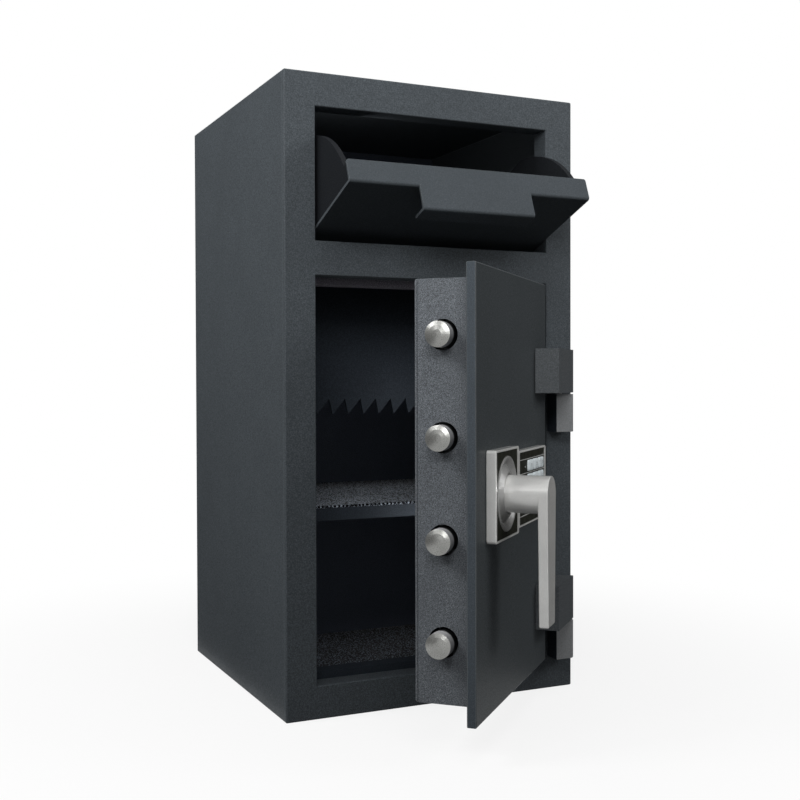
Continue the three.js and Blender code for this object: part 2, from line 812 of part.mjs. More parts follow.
// Dead bar: an angle whose blade reaches behind the hinge jamb
function deadBar() {
  const left = boxRight + seatGap;
  const plan = outline([
    [left, deadBarDepth],
    [left + deadBarReach, deadBarDepth],
    [left + deadBarReach, deadBarDepth + deadBarSheet],
    [left + deadBarSheet, deadBarDepth + deadBarSheet],
    [left + deadBarSheet, deadBarDepth + deadBarFoot],
    [left, deadBarDepth + deadBarFoot],
  ]);
  return prism('z', plan, boxFoot + deadBarInset, boxHead - deadBarInset);
}

// Round bolt with a domed nose, turned on its own axis and laid along X
function roundBolt(z) {
  const length = boltTail - boltTip;
  const domeRadius = (boltRadius ** 2 + boltDome ** 2) / (2 * boltDome);
  const halfAngle = Math.asin(boltRadius / domeRadius);
  const nose = Array.from({ length: domeSteps + 1 }, (_, i) => {
    const angle = halfAngle * i / domeSteps;
    return [domeRadius * Math.sin(angle), domeRadius * (1 - Math.cos(angle))];
  });
  const bolt = turned([...nose, [boltRadius, length], [0, length]]);
  bolt.rotateZ(-Math.PI / 2);
  bolt.translate(boltTip, boltDepth, z);
  return bolt;
}

// Half the angle of a pinion tooth at a radius, from the involute of its base circle
function toothHalfAngle(radius) {
  const baseRadius = pitchRadius * Math.cos(pressureAngle);
  const involute = (angle) => Math.tan(angle) - angle;
  const angleThere = Math.acos(Math.min(baseRadius / radius, 1));
  const halfAtPitch = Math.PI / (2 * pinionTeeth) - gearBacklash / (2 * pitchRadius);
  return halfAtPitch + involute(pressureAngle) - involute(angleThere);
}

function drivePinion() {
  const baseRadius = pitchRadius * Math.cos(pressureAngle);
  const rootRadius = pitchRadius - dedendumShare * gearModule;
  const tipRadius = pitchRadius + addendumShare * gearModule;
  const flank = [baseRadius, (baseRadius + pitchRadius) / 2, pitchRadius, tipRadius];
  const points = [];
  for (let i = 0; i < pinionTeeth; i += 1) {
    const middle = Math.PI / 2 + (i + 1 / 2) * 2 * Math.PI / pinionTeeth;
    const rising = [rootRadius, ...flank].map((r) => [r, -toothHalfAngle(Math.max(r, baseRadius))]);
    const falling = rising.map(([r, angle]) => [r, -angle]).reverse();
    [...rising, ...falling].forEach(([r, angle]) => {
      points.push([handleX + r * Math.cos(middle + angle), handleZ + r * Math.sin(middle + angle)]);
    });
  }
  const gear = outline(points);
  gear.holes.push(disc(handleX, handleZ, spindleRadius + seatGap));
  return prism('y', gear, boltDepth - pinionThick / 2, boltDepth + pinionThick / 2);
}

// Rack: straight teeth below a bar, in mesh above the pinion
function rack() {
  const pitch = Math.PI * gearModule;
  const pitchLine = handleZ + pitchRadius;
  const tipLine = pitchLine - addendumShare * gearModule;
  const rootLine = pitchLine + dedendumShare * gearModule;
  const lean = Math.tan(pressureAngle);
  const halfAtPitch = pitch / 4 - gearBacklash / 2;
  const halfTip = halfAtPitch - (pitchLine - tipLine) * lean;
  const halfRoot = halfAtPitch + (rootLine - pitchLine) * lean;
  const points = [[spineLeft, rootLine]];
  for (let i = -rackTeethBefore; i <= rackTeethAfter; i += 1) {
    const x = handleX + i * pitch;
    points.push([x - halfRoot, rootLine], [x - halfTip, tipLine]);
    points.push([x + halfTip, tipLine], [x + halfRoot, rootLine]);
  }
  const right = handleX + rackTeethAfter * pitch + pitch / 2 + rackSpare;
  points.push([right, rootLine], [right, rootLine + rackBack], [spineLeft, rootLine + rackBack]);
  return prism('y', outline(points), plateFront, plateBack);
}

// Slotted arm that slides over a guide stud
function slottedArm(middle) {
  const half = armHeight / 2;
  const arm = outline([
    [spineLeft, middle - half], [armRight, middle - half], [armRight, middle + half], [spineLeft, middle + half],
  ]);
  arm.holes.push(roundedRectangle(
    studX - slotHalf, studX + boltThrow + slotHalf, middle - slotHalf, middle + slotHalf,
    slotHalf - seatGap, THREE.Path));
  return prism('y', arm, plateFront, plateBack);
}

// Carriage: a spine across the bolts' tails, two slotted arms and the rack
function boltCarriage() {
  const spine = block(
    [spineLeft, spineRight], [boltDepth - boltRadius, boltDepth + boltRadius],
    [boltHeights[0] - carriageEnds, boltHeights[boltCount - 1] + carriageEnds]);
  return join(spine, slottedArm(lowerArm), slottedArm(upperArm), rack());
}

// Guide stud: a collar on the plate, a shank in the slot and a head over the arm
function guideStud(z) {
  const shankEnd = plateBack + seatGap;
  const stud = turned([
    [0, boxFront],
    [studCollar, boxFront],
    [studCollar, plateFront - seatGap],
    [studRadius, plateFront - seatGap],
    [studRadius, shankEnd],
    [studHead, shankEnd],
    [studHead, shankEnd + studHeadThick],
    [0, shankEnd + studHeadThick],
  ]);
  stud.translate(studX, 0, z);
  return stud;
}

// Lock: a lug welded under the lower arm, and a bolt that rises between the lug's two end places
const lockLugLeft = armRight - lugWidth - seatGap;
const lockLugHead = lowerArm - armHeight / 2 - seatGap;
const lockBoltLeft = lockLugLeft - (boltThrow - lugWidth + lockBoltWidth) / 2;
const lockCaseHead = lockLugHead - lugDrop - lockCaseClear;
const lockCaseFoot = boxFoot + boxSheet + lockCaseFootGap;
const lockBoltFront = plateFront - seatGap;

function lockLug() {
  return block(
    [lockLugLeft, lockLugLeft + lugWidth], [plateFront, plateBack], [lockLugHead - lugDrop, lockLugHead]);
}

function lockCase() {
  const left = doorLeft + lockCaseLeft;
  const shell = prism(
    'y', roundedRectangle(
      left, left + lockCaseWidth, lockCaseFoot, lockCaseHead, lockCaseRound),
    boxFront, boxFront + lockCaseDepth);
  const socket = block(
    [lockBoltLeft - seatGap, lockBoltLeft + lockBoltWidth + seatGap],
    [lockBoltFront - lockBoltThick / 2 - seatGap, lockBoltFront + lockBoltThick / 2 + seatGap],
    [lockCaseHead - lockBoltLength - seatGap, lockCaseHead + cutOverrun]);
  return cut(shell, socket);
}

function lockBolt() {
  const left = lockBoltLeft;
  const right = lockBoltLeft + lockBoltWidth;
  const foot = lockCaseHead - lockBoltLength;
  const bar = outline([
    [left, foot], [right, foot], [right, lockCaseHead - lockBoltChamfer],
    [right - lockBoltChamfer, lockCaseHead], [left + lockBoltChamfer, lockCaseHead],
    [left, lockCaseHead - lockBoltChamfer],
  ]);
  return prism('y', bar, lockBoltFront - lockBoltThick / 2, lockBoltFront + lockBoltThick / 2);
}

// Handle plate with a shallow recess for its inlay and a round pocket for the ring
const plateLeft = doorLeft + handlePlateLeft;
const plateRight = plateLeft + handlePlateWidth;
const plateFoot = handleZ - handlePlateDrop;
const plateHead = plateFoot + handlePlateHeight;
const inlaySeat = -handlePlateThick + inlayThick + 2 * seatGap;
const ringSeat = -handlePlateThick + ringPocket;
const inlaySides = [plateLeft + inlayBorderLeft, plateRight - inlayBorderRight];
const inlayEnds = [plateFoot + inlayBorderEnds, plateHead - inlayBorderEnds];

function handlePlate() {
  const plate = roundedPlate(
    roundedRectangle(plateLeft, plateRight, plateFoot, plateHead, handlePlateRound),
    -handlePlateThick, -seatGap, handlePlateBevel);
  const recess = block(inlaySides, [-handlePlateThick - cutOverrun, inlaySeat], inlayEnds);
  const pocket = prism(
    'y', disc(handleX, handleZ, ringRadius + seatGap, ringFacets), -handlePlateThick - cutOverrun, ringSeat);
  const bore = prism(
    'y', disc(handleX, handleZ, spindleRadius + runningGap + seatGap),
    -handlePlateThick - cutOverrun, cutOverrun);
  return cut(plate, recess, pocket, bore);
}

function handleInlay() {
  const sheet = outline([
    [inlaySides[0] + seatGap, inlayEnds[0] + seatGap], [inlaySides[1] - seatGap, inlayEnds[0] + seatGap],
    [inlaySides[1] - seatGap, inlayEnds[1] - seatGap], [inlaySides[0] + seatGap, inlayEnds[1] - seatGap],
  ]);
  sheet.holes.push(disc(handleX, handleZ, ringRadius + seatGap, ringFacets));
  return prism('y', sheet, inlaySeat - seatGap - inlayThick, inlaySeat - seatGap);
}

// Dished ring round the hub: an outer rim, a shallow dish and a raised inner edge
function handleRing() {
  const base = ringSeat - seatGap;
  const face = -handlePlateThick;
  const ring = turned([
    [ringInner, base],
    [ringInner, face - ringInnerRim],
    [ringInner + ringRimWidth, face - ringInnerRim],
    [ringDishRadius, face + ringDishDepth],
    [ringRadius - 2 * ringRimWidth, face - ringRim / 2],
    [ringRadius - ringRimWidth, face - ringRim],
    [ringRadius, face - ringRim / 2],
    [ringRadius, base],
    [ringInner, base],
  ], ringFacets);
  ring.translate(handleX, 0, handleZ);
  return ring;
}

// Lever: a round head over the hub and a straight grip that narrows to its tip
function handleLever() {
  const grip = new THREE.Shape();
  const half = leverTipHalf;
  const tip = handleZ - leverLength;
  grip.absarc(handleX, handleZ, hubRadius, 0, Math.PI);
  grip.lineTo(handleX - half, tip + leverTipRound);
  grip.lineTo(handleX - half + leverTipRound, tip);
  grip.lineTo(handleX + half - leverTipRound, tip);
  grip.lineTo(handleX + half, tip + leverTipRound);
  grip.closePath();
  const blade = new THREE.ExtrudeGeometry(grip, {
    depth: leverThick - 2 * leverBevel,
    bevelThickness: leverBevel,
    bevelSize: leverBevel,
    bevelOffset: -leverBevel,
    bevelSegments: bevelSteps,
    curveSegments: ringFacets / 2,
  });
  blade.rotateX(Math.PI / 2);
  blade.translate(0, -leverFront + leverThick - leverBevel, 0);
  const hub = prism(
    'y', disc(handleX, handleZ, hubRadius, ringFacets), -leverFront + leverBevel, ringSeat - seatGap);
  const bore = prism(
    'y', disc(handleX, handleZ, spindleRadius + seatGap), -spindleInLever - seatGap, 0);
  return cut(join(blade, hub), bore);
}

function spindle() {
  return prism(
    'y', disc(handleX, handleZ, spindleRadius), -spindleInLever, boltDepth + pinionThick / 2 + spindleTail);
}

function handle(door) {
  door.add(
    part('handle_lever', handleLever(), 'satinSilver'),
    part('spindle', spindle(), 'steel'),
    part('drive_pinion', drivePinion(), 'steel'),
  );
}

function boltwork(door) {
  door.add(part('bolt_carriage', boltCarriage(), 'steel'), part('lock_lug', lockLug(), 'steel'));
  boltHeights.forEach((z, i) => door.add(part(`bolt_${i + 1}`, roundBolt(z), 'steel')));
}

// Keypad: a housing with a stepped recess, a fascia with a window for each key, and the keys
const keypadLeft = plateRight + keypadGap;
const keypadWidth = keypadWidthShare * (doorRight - keypadLeft);
const keypadRight = keypadLeft + keypadWidth;
const keypadFoot = handleZ - keypadBelowHandle;
const keypadHead = keypadFoot + keypadHeight;
const keypadBorder = keypadBorderShare * keypadWidth;
const fasciaSides = [keypadLeft + keypadBorder, keypadRight - keypadBorder];
const fasciaEnds = [keypadFoot + keypadBorderEnds, keypadHead - keypadBorderEnds];
const fasciaFace = -keypadThick + fasciaSink;
const fasciaBack = fasciaFace + fasciaThick;
const keyWidth = keyWidthShare * keypadWidth;
const ledX = keypadLeft + ledShare * keypadWidth;
const ledZ = keypadFoot + ledFromFoot;
const keyPlaces = [];
for (let row = 0; row < keyRows; row += 1) {
  for (let column = 0; column < keyColumns; column += 1) {
    keyPlaces.push({
      name: `key_row${keyRows - row}_column${column + 1}`,
      x: keypadLeft + (firstKeyShare + column * keyPitchShare) * keypadWidth,
      z: keypadFoot + firstKeyZ + row * keyPitchZ,
    });
  }
}

function keypadHousing() {
  const shell = roundedPlate(
    roundedRectangle(keypadLeft, keypadRight, keypadFoot, keypadHead, keypadRound),
    -keypadThick, -seatGap, keypadBevel);
  const recess = block(fasciaSides, [-keypadThick - cutOverrun, fasciaBack + seatGap], fasciaEnds);
  const cavity = block(
    [fasciaSides[0] + cavityInset, fasciaSides[1] - cavityInset], [-keypadThick, -cavityFloor],
    [fasciaEnds[0] + cavityInset, fasciaEnds[1] - cavityInset]);
  return cut(shell, recess, cavity);
}

function keyOutline({ x, z }, grow, Kind) {
  const halfWidth = keyWidth / 2 + grow;
  const halfHeight = keyHeight / 2 + grow;
  return roundedRectangle(x - halfWidth, x + halfWidth, z - halfHeight, z + halfHeight, keyRound, Kind);
}

function keypadFascia() {
  const sheet = outline([
    [fasciaSides[0] + seatGap, fasciaEnds[0] + seatGap], [fasciaSides[1] - seatGap, fasciaEnds[0] + seatGap],
    [fasciaSides[1] - seatGap, fasciaEnds[1] - seatGap], [fasciaSides[0] + seatGap, fasciaEnds[1] - seatGap],
  ]);
  keyPlaces.forEach((place) => sheet.holes.push(keyOutline(place, seatGap, THREE.Path)));
  sheet.holes.push(disc(ledX, ledZ, ledRadius + seatGap));
  return prism('y', sheet, fasciaFace, fasciaBack, bevelSteps);
}

function key(place) {
  const cap = roundedPlate(
    keyOutline(place, 0), fasciaFace - keyProud, fasciaBack + seatGap + keyBevel, keyBevel);
  const grow = keyFlange;
  const flange = block(
    [place.x - keyWidth / 2 - grow, place.x + keyWidth / 2 + grow],
    [fasciaBack + seatGap, fasciaBack + seatGap + keyFlangeThick],
    [place.z - keyHeight / 2 - grow, place.z + keyHeight / 2 + grow]);
  return join(cap, flange);
}

function keypadLed() {
  return prism(
    'y', disc(ledX, ledZ, ledRadius), fasciaFace - ledProud,
    fasciaBack);
}

function keypad(door) {
  door.add(
    part('keypad_housing', keypadHousing(), 'satinSilver'),
    part('keypad_fascia', keypadFascia(), 'darkInlay'),
    part('keypad_led', keypadLed(), 'ledLens'),
  );
  keyPlaces.forEach((place) => door.add(part(place.name, key(place), 'keyPlastic')));
}

function swingingDoor(parent) {
  const door = turnedAbout(parent, [pinX, pinY, 0], new THREE.Vector3(0, 0, 1), doorOpenAngle);
  door.add(
    part('door_plate', doorPlate(), 'doorPaint'),
    part('bolt_frame', boltFrame(), 'bodyPaint'),
    part('bolt_cover', boltCover(), 'bodyPaint'),
    part('dead_bar', deadBar(), 'steel'),
    part('hinge_block_door_upper', doorBlock(hingeFeet.upper), 'doorPaint'),
    part('hinge_block_door_lower', doorBlock(hingeFeet.lower), 'doorPaint'),
    part('lock_case', lockCase(), 'darkInlay'),
    part('lock_bolt', lockBolt(), 'steel'),
    part('guide_stud_upper', guideStud(upperArm), 'steel'),
    part('guide_stud_lower', guideStud(lowerArm), 'steel'),
    part('handle_plate', handlePlate(), 'satinSilver'),
    part('handle_inlay', handleInlay(), 'darkInlay'),
    part('handle_ring', handleRing(), 'satinSilver'),
  );
  handle(door);
  boltwork(door);
  keypad(door);
}

function safe() {
  const whole = new THREE.Group();
  const fromDatum = new THREE.Group();
  fromDatum.position.set(-width / 2, -depth / 2, 0);
  whole.add(fromDatum);
  fromDatum.add(cabinet(), fixedHinges());
  fromDatum.add(
    part('drawer_pivot_left', drawerPivot('left'), 'steel'),
    part('drawer_pivot_right', drawerPivot('right'), 'steel'),
  );
  depositDrawer(fromDatum);
  swingingDoor(fromDatum);
  return whole;
}

export default safe();
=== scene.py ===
# %% [markdown]
# A drop safe stands with its door ajar and its deposit drawer pulled open. The steel shapes come from
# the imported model, one object for each piece, already in metres and in their places. This lesson
# gives every piece its finish, adds the small things that the plain shapes lack, and lights it all.

# %% Load the frame
import math
import json
import random
import bpy
import bmesh
from mathutils import Matrix, Vector


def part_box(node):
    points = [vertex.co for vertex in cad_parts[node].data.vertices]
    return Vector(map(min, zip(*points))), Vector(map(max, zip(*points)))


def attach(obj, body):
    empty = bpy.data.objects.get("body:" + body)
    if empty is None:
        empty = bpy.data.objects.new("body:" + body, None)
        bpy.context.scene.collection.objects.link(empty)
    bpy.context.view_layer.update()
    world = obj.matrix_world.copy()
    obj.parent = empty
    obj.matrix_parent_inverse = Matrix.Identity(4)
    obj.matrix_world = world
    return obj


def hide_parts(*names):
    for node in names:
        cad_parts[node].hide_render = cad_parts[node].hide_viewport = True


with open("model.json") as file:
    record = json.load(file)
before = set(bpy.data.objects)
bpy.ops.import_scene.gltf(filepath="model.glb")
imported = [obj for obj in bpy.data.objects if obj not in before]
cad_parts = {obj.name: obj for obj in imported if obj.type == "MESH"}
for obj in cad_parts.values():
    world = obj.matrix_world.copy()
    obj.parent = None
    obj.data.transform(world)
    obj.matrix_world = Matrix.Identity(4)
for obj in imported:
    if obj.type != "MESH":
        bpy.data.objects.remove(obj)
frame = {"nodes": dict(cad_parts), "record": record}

MM = 0.001
nodes = frame["nodes"]
scene = bpy.context.scene
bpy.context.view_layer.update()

# %% [markdown]
# The picture was taken from the safe's front left, a little above the middle of the door, with a
# normal lens. Solving the safe's own straight edges gave the place, the turn and the lens of that
# camera, so it is written down as numbers here and not aimed by eye.

# %% Camera
camera_place = Vector((-570.6, -1299.3, 360.4)) * MM
camera_yaw = math.radians(25.118)
camera_pitch = math.radians(-0.987)
camera_roll = math.radians(-0.153)
photo_width = 800
focal_in_pixels = 1131.7
sensor_width = 36
focal_length = sensor_width * focal_in_pixels / photo_width

upright = Vector((0, 0, 1))
ahead = Vector((
    math.sin(camera_yaw) * math.cos(camera_pitch),
    math.cos(camera_yaw) * math.cos(camera_pitch),
    math.sin(camera_pitch)))
sideways = ahead.cross(upright).normalized()
upward = sideways.cross(ahead)
axes = Matrix((sideways, upward, -ahead)).transposed()
axes = axes @ Matrix.Rotation(camera_roll, 3, "Z")

lens = bpy.data.cameras.new("photo_lens")
lens.sensor_width = sensor_width
lens.lens = focal_length
lens.clip_start = 0.05
lens.clip_end = 60
camera = bpy.data.objects.new("photo_camera", lens)
camera.matrix_world = Matrix.Translation(camera_place) @ axes.to_4x4()
scene.collection.objects.link(camera)
scene.camera = camera
print("camera lens:", round(focal_length, 2), "mm")

# %% [markdown]
# A product picture stands on a pale sweep of paper. A floor that curves up behind the object could
# be modelled, but a large flat floor under a white world does the same with less, and it keeps the
# soft shadow where the safe stands. The world is white to the eye and to reflections, and dimmer as
# a light, so that the background is white while the paint keeps its written colour.

# %% View and world
scene.view_settings.view_transform = "Standard"
ambient_strength = 0.16


def mixed(tree, factor, first, second):
    mix = tree.nodes.new("ShaderNodeMixShader")
    for source, socket in zip((factor, first, second), mix.inputs):
        tree.links.new(source, socket)
    return mix.outputs[0]


def white_glow(tree, strength):
    glow = tree.nodes.new("ShaderNodeBackground")
    glow.inputs["Color"].default_value = (1, 1, 1, 1)
    glow.inputs["Strength"].default_value = strength
    return glow.outputs[0]


def new_world(name, ambient):
    world = bpy.data.worlds.new(name)
    world.use_nodes = True
    tree = world.node_tree
    tree.nodes.clear()
    rays = tree.nodes.new("ShaderNodeLightPath")
    seen = rays.outputs["Is Camera Ray"]
    for ray in ("Is Glossy Ray", "Is Transmission Ray"):
        either = tree.nodes.new("ShaderNodeMath")
        either.operation = "MAXIMUM"
        tree.links.new(seen, either.inputs[0])
        tree.links.new(rays.outputs[ray], either.inputs[1])
        seen = either.outputs[0]
    out = tree.nodes.new("ShaderNodeOutputWorld")
    choice = mixed(tree, seen, white_glow(tree, ambient), white_glow(tree, 1))
    tree.links.new(choice, out.inputs["Surface"])
    return world


scene.world = new_world("studio_white", ambient_strength)
print("world strength as a light:", ambient_strength)

# %% [markdown]
# Colours are easiest to judge as they appear on screen, while shaders want them in linear light. A
# small converter, whose numbers are those of the sRGB curve, lets every colour below be written as it
# looks. A second one gives a darker or paler tone of a colour.

# %% Colours as they look
def as_seen(*values):
    linear = [v / 12.92 if v <= 0.04045 else ((v + 0.055) / 1.055) ** 2.4 for v in values]
    return (*linear, 1)


def shaded(color, share):
    return as_seen(*(min(share * c, 1) for c in color))


def new_material(name):
    material = bpy.data.materials.new(name)
    material.use_nodes = True
    tree = material.node_tree
    tree.nodes.clear()
    out = tree.nodes.new("ShaderNodeOutputMaterial")
    shader = tree.nodes.new("ShaderNodeBsdfPrincipled")
    tree.links.new(shader.outputs["BSDF"], out.inputs["Surface"])
    return material, tree, shader


print("a mid grey in linear light:", round(as_seen(0.5, 0.5, 0.5)[0], 3))

# %% [markdown]
# Every finish here is grain at one or two sizes: a texture coordinate, a noise, and a ramp that
# turns the noise into colour, roughness or height. These helpers keep each finish short. The mix node
# has sockets of several kinds under one name, so its colour sockets are picked by their number.

# %% Helpers for grain
def coordinates(tree, stretch=(1, 1, 1)):
    place = tree.nodes.new("ShaderNodeTexCoord")
    mapping = tree.nodes.new("ShaderNodeMapping")
    mapping.inputs["Scale"].default_value = stretch
    tree.links.new(place.outputs["Object"], mapping.inputs["Vector"])
    return mapping.outputs["Vector"]


def noise(tree, where, size, detail=2.0, roughness=0.5):
    grain = tree.nodes.new("ShaderNodeTexNoise")
    grain.inputs["Scale"].default_value = 1 / size
    grain.inputs["Detail"].default_value = detail
    grain.inputs["Roughness"].default_value = roughness
    tree.links.new(where, grain.inputs["Vector"])
    return grain.outputs["Fac"]


def ramp(tree, value, stops):
    between = tree.nodes.new("ShaderNodeValToRGB")
    elements = between.color_ramp.elements
    elements[0].position, elements[0].color = stops[0]
    elements[1].position, elements[1].color = stops[-1]
    for position, color in stops[1:-1]:
        elements.new(position).color = color
    tree.links.new(value, between.inputs["Fac"])
    return between.outputs["Color"]


def spread(tree, value, low, high, low_in=0.3, high_in=0.7):
    between = tree.nodes.new("ShaderNodeMapRange")
    between.inputs["From Min"].default_value = low_in
    between.inputs["From Max"].default_value = high_in
    between.inputs["To Min"].default_value = low
    between.inputs["To Max"].default_value = high
    tree.links.new(value, between.inputs["Value"])
    return between.outputs["Result"]


def relief(tree, height, strength, depth, below=None):
    bump = tree.nodes.new("ShaderNodeBump")
    bump.inputs["Strength"].default_value = strength
    bump.inputs["Distance"].default_value = depth
    tree.links.new(height, bump.inputs["Height"])
    if below is not None:
        tree.links.new(below, bump.inputs["Normal"])
    return bump.outputs["Normal"]


color_a = 6
color_b = 7
color_result = 2


def tinted(tree, base, factor, light):
    mix = tree.nodes.new("ShaderNodeMix")
    mix.data_type = "RGBA"
    tree.links.new(factor, mix.inputs["Factor"])
    tree.links.new(base, mix.inputs[color_a])
    mix.inputs[color_b].default_value = light
    return mix.outputs[color_result]


def dress(tree, shader, base, roughness, normal, levels):
    for socket, source in (("Base Color", base), ("Roughness", roughness), ("Normal", normal)):
        tree.links.new(source, shader.inputs[socket])
    for socket, level in levels.items():
        shader.inputs[socket].default_value = level


print("helpers ready")

# %% [markdown]
# The whole cabinet is powder coated: a fine hammered grain about a millimetre across, nearly grey
# with a touch of blue green. Displacing the real surface by a few hundredths of a millimetre would
# cost millions of faces, so the grain is a bump, helped by a speckle in the colour, because the
# crests of such a coat are rubbed lighter than its pits. A coarser, fainter noise under it keeps the
# large flat sides from looking like one computed colour, as a sprayed coat never is. The gloss stays
# low: a dark coat in a white room shows the room before its own colour as soon as it shines.
# The coat looks a little different on each piece, with its own grain and tone, and several of the tones
# are painted light and shade: paler or darker than the paint, to stand in for more or less light. The
# paler, shinier coats on the edges of the drawer, the door and the body are painted highlights. So
# there is one function, and a coat for each.

# %% Powder coat
cloud_size = 70 * MM
worn_share = 0.88


def powder_coat(name, color, contrast, grain_size=1.1 * MM, relief_depth=0.16 * MM, gloss=0.12,
                roughness=0.5):
    material, tree, shader = new_material(name)
    where = coordinates(tree)
    cloud = noise(tree, where, cloud_size, 3)
    fine = noise(tree, where, grain_size, 2.5, 0.6)
    lumps = noise(tree, where, 5 * grain_size, 1)
    pits = shaded(color, 1 - contrast)
    crests = shaded(color, 1 + 1.3 * contrast)
    base = ramp(tree, fine, [(0.32, pits), (0.5, as_seen(*color)), (0.7, crests)])
    worn = tinted(tree, base, spread(tree, cloud, 0, 0.35, 0.35, 0.75), shaded(color, worn_share))
    orange_peel = relief(tree, lumps, 0.2, 2 * relief_depth)
    dress(tree, shader, worn, spread(tree, fine, roughness + 0.1, roughness - 0.08),
          relief(tree, fine, 0.6, relief_depth, orange_peel), {"Specular IOR Level": gloss})
    return material


paint = (0.284, 0.304, 0.32)
body_coat = powder_coat("powder_coat_body", paint, 0.19, gloss=0.08)
# Painted shade: the door's coat is darker than the body's paint, as if it were lit less.
door_coat_painted_shade = powder_coat("powder_coat_door", (0.236, 0.251, 0.26), 0.12, gloss=0.07)
drawer_coat = powder_coat("powder_coat_drawer", paint, 0.1, gloss=0.05)
# The bolt box has a coarser grain of its own, and its coat is paler than the paint as painted light.
box_coat_and_painted_light = powder_coat("powder_coat_bolt_box", (0.38, 0.396, 0.414), 0.36, 0.85 * MM, 0.18 * MM)
hinge_coat = powder_coat("powder_coat_door_blocks", (0.3, 0.312, 0.322), 0.19, gloss=0.07)
# Painted light: the body's hinge blocks are painted far paler than the paint, as if they were lit more.
block_coat_painted_light = powder_coat("powder_coat_body_blocks", (0.54, 0.548, 0.555), 0.1, 0.9 * MM)
hopper_coat = powder_coat("powder_coat_hopper", (0.11, 0.117, 0.128), 0.12, gloss=0.04)
# The inside coat also goes on the left sides of the body's hinge blocks, where it is painted shade.
inside_coat_and_painted_shade = powder_coat("powder_coat_inside", (0.165, 0.185, 0.21), 0.18, gloss=0.06)
# Painted highlights: these three paler, shinier coats go on the bevelled edges of the drawer, the door
# and the body.
drawer_edge_highlight = powder_coat("powder_coat_drawer_edges", (0.46, 0.48, 0.49), 0.1, gloss=0.4, roughness=0.4)
door_edge_highlight = powder_coat("powder_coat_door_edges", (0.4, 0.42, 0.43), 0.1, gloss=0.3, roughness=0.4)
body_edge_highlight = powder_coat("powder_coat_body_edges", (0.36, 0.385, 0.4), 0.1, gloss=0.2, roughness=0.4)
# Painted light: a paler coat for the two upright sides of the door plate.
door_side_painted_light = powder_coat("powder_coat_door_side", (0.292, 0.318, 0.342), 0.12, gloss=0.07)
# Painted light: the top rail of the frame is painted far paler than the paint around it, as if lit more.
rail_coat_painted_light = powder_coat("powder_coat_rail", (0.58, 0.562, 0.595), 0.25, gloss=0.06)
# Painted light: a paler coat for the inner face of the back panel.
back_inside_painted_light = powder_coat("powder_coat_back_inside", (0.338, 0.362, 0.41), 0.18, gloss=0.06)
# Painted light: a paler coat for the left sides of the door's hinge blocks.
block_side_painted_light = powder_coat("powder_coat_block_side", (0.39, 0.405, 0.417), 0.15, gloss=0.07)
coats = [material.name for material in bpy.data.materials if material.name.startswith("powder_coat")]
print("coats:", coats)

# %% [markdown]
# The bolts, pins, studs and the boltwork are bare turned or milled steel. Turning leaves rings round
# each piece's own axis and a brighter line where an edge was broken. A stretched noise gives the
# lathe's lines along one direction without drawing them.

# %% Bare steel
ring_size = 0.5 * MM
stain_size = 18 * MM
turned_rings = (1, 0.12, 0.12)


def bare_steel(name, color, stretch, roughness=0.3, metallic=0.45):
    material, tree, shader = new_material(name)
    lines = noise(tree, coordinates(tree, stretch), ring_size, 2)
    stains = noise(tree, coordinates(tree), stain_size, 3)
    base = ramp(tree, stains, [(0.3, shaded(color, 0.9)), (0.75, as_seen(*color))])
    dress(tree, shader, base, spread(tree, lines, roughness - 0.06, roughness + 0.1),
          relief(tree, lines, 0.12, 0.03 * MM), {"Metallic": metallic})
    return material


turned_steel = bare_steel("turned_steel", (0.82, 0.82, 0.82), turned_rings, 0.4, 0.1)
faced_steel = bare_steel("faced_steel", (0.6, 0.602, 0.59), (0.12, 1, 1), 0.3, 0.65)
milled_steel = bare_steel("milled_steel", (0.46, 0.47, 0.48), (0.1, 1, 1), 0.42)
print("steels:", turned_steel.name, faced_steel.name, milled_steel.name)

# %% [markdown]
# The handle, its plate, the dished ring and the keypad's housing are die cast and sprayed with a
# satin silver lacquer. It is paler and softer than bare metal, with flakes too small to see one by
# one, so it is only partly metallic, with a fine speckle in its roughness, under a clear coat that
# draws the thin bright lines along the edges. The one lacquer comes in three tones as painted light
# and shade: the plate, the keypad's housing and the lines between the keys are painted paler, and the
# ring darker.

# %% Satin silver lacquer
flake_size = 0.35 * MM
lacquer_cloud_size = 25 * MM
lacquer_roughness = 0.3
lacquer_levels = {"Metallic": 0.18, "Coat Weight": 1, "Coat Roughness": 0.05}


def satin_silver(name, color):
    material, tree, shader = new_material(name)
    where = coordinates(tree)
    flake = noise(tree, where, flake_size, 2)
    cloud = noise(tree, where, lacquer_cloud_size, 2)
    base = ramp(tree, cloud, [(0.3, shaded(color, 0.95)), (0.7, as_seen(*color))])
    dress(tree, shader, base, spread(tree, flake, lacquer_roughness - 0.05, lacquer_roughness + 0.08),
          relief(tree, flake, 0.1, 0.03 * MM), lacquer_levels)
    return material


silver = satin_silver("satin_silver", (0.9, 0.9, 0.89))
# Painted light: the plate, the keypad's housing and the lines between the keys take a paler tone of the
# same lacquer.
pale_silver_painted_light = satin_silver("satin_silver_plate", (0.98, 0.98, 0.97))
# Painted shade: the ring takes a darker tone of the same lacquer.
ring_silver_painted_shade = satin_silver("satin_silver_ring", (0.685, 0.685, 0.68))
print("silver:", silver.name, pale_silver_painted_light.name, ring_silver_painted_shade.name)

# %% [markdown]
# The inlay of the handle plate and the keypad's face are dark moulded plastic with a faint spark
# texture. The keys are pale plastic, a little glossy where fingers rest, and the signal lamp has a
# pale lens. The lock case is die cast, but painted dark and dull, so the same function serves it.

# %% Moulded and cast finishes
handling_size = 9 * MM


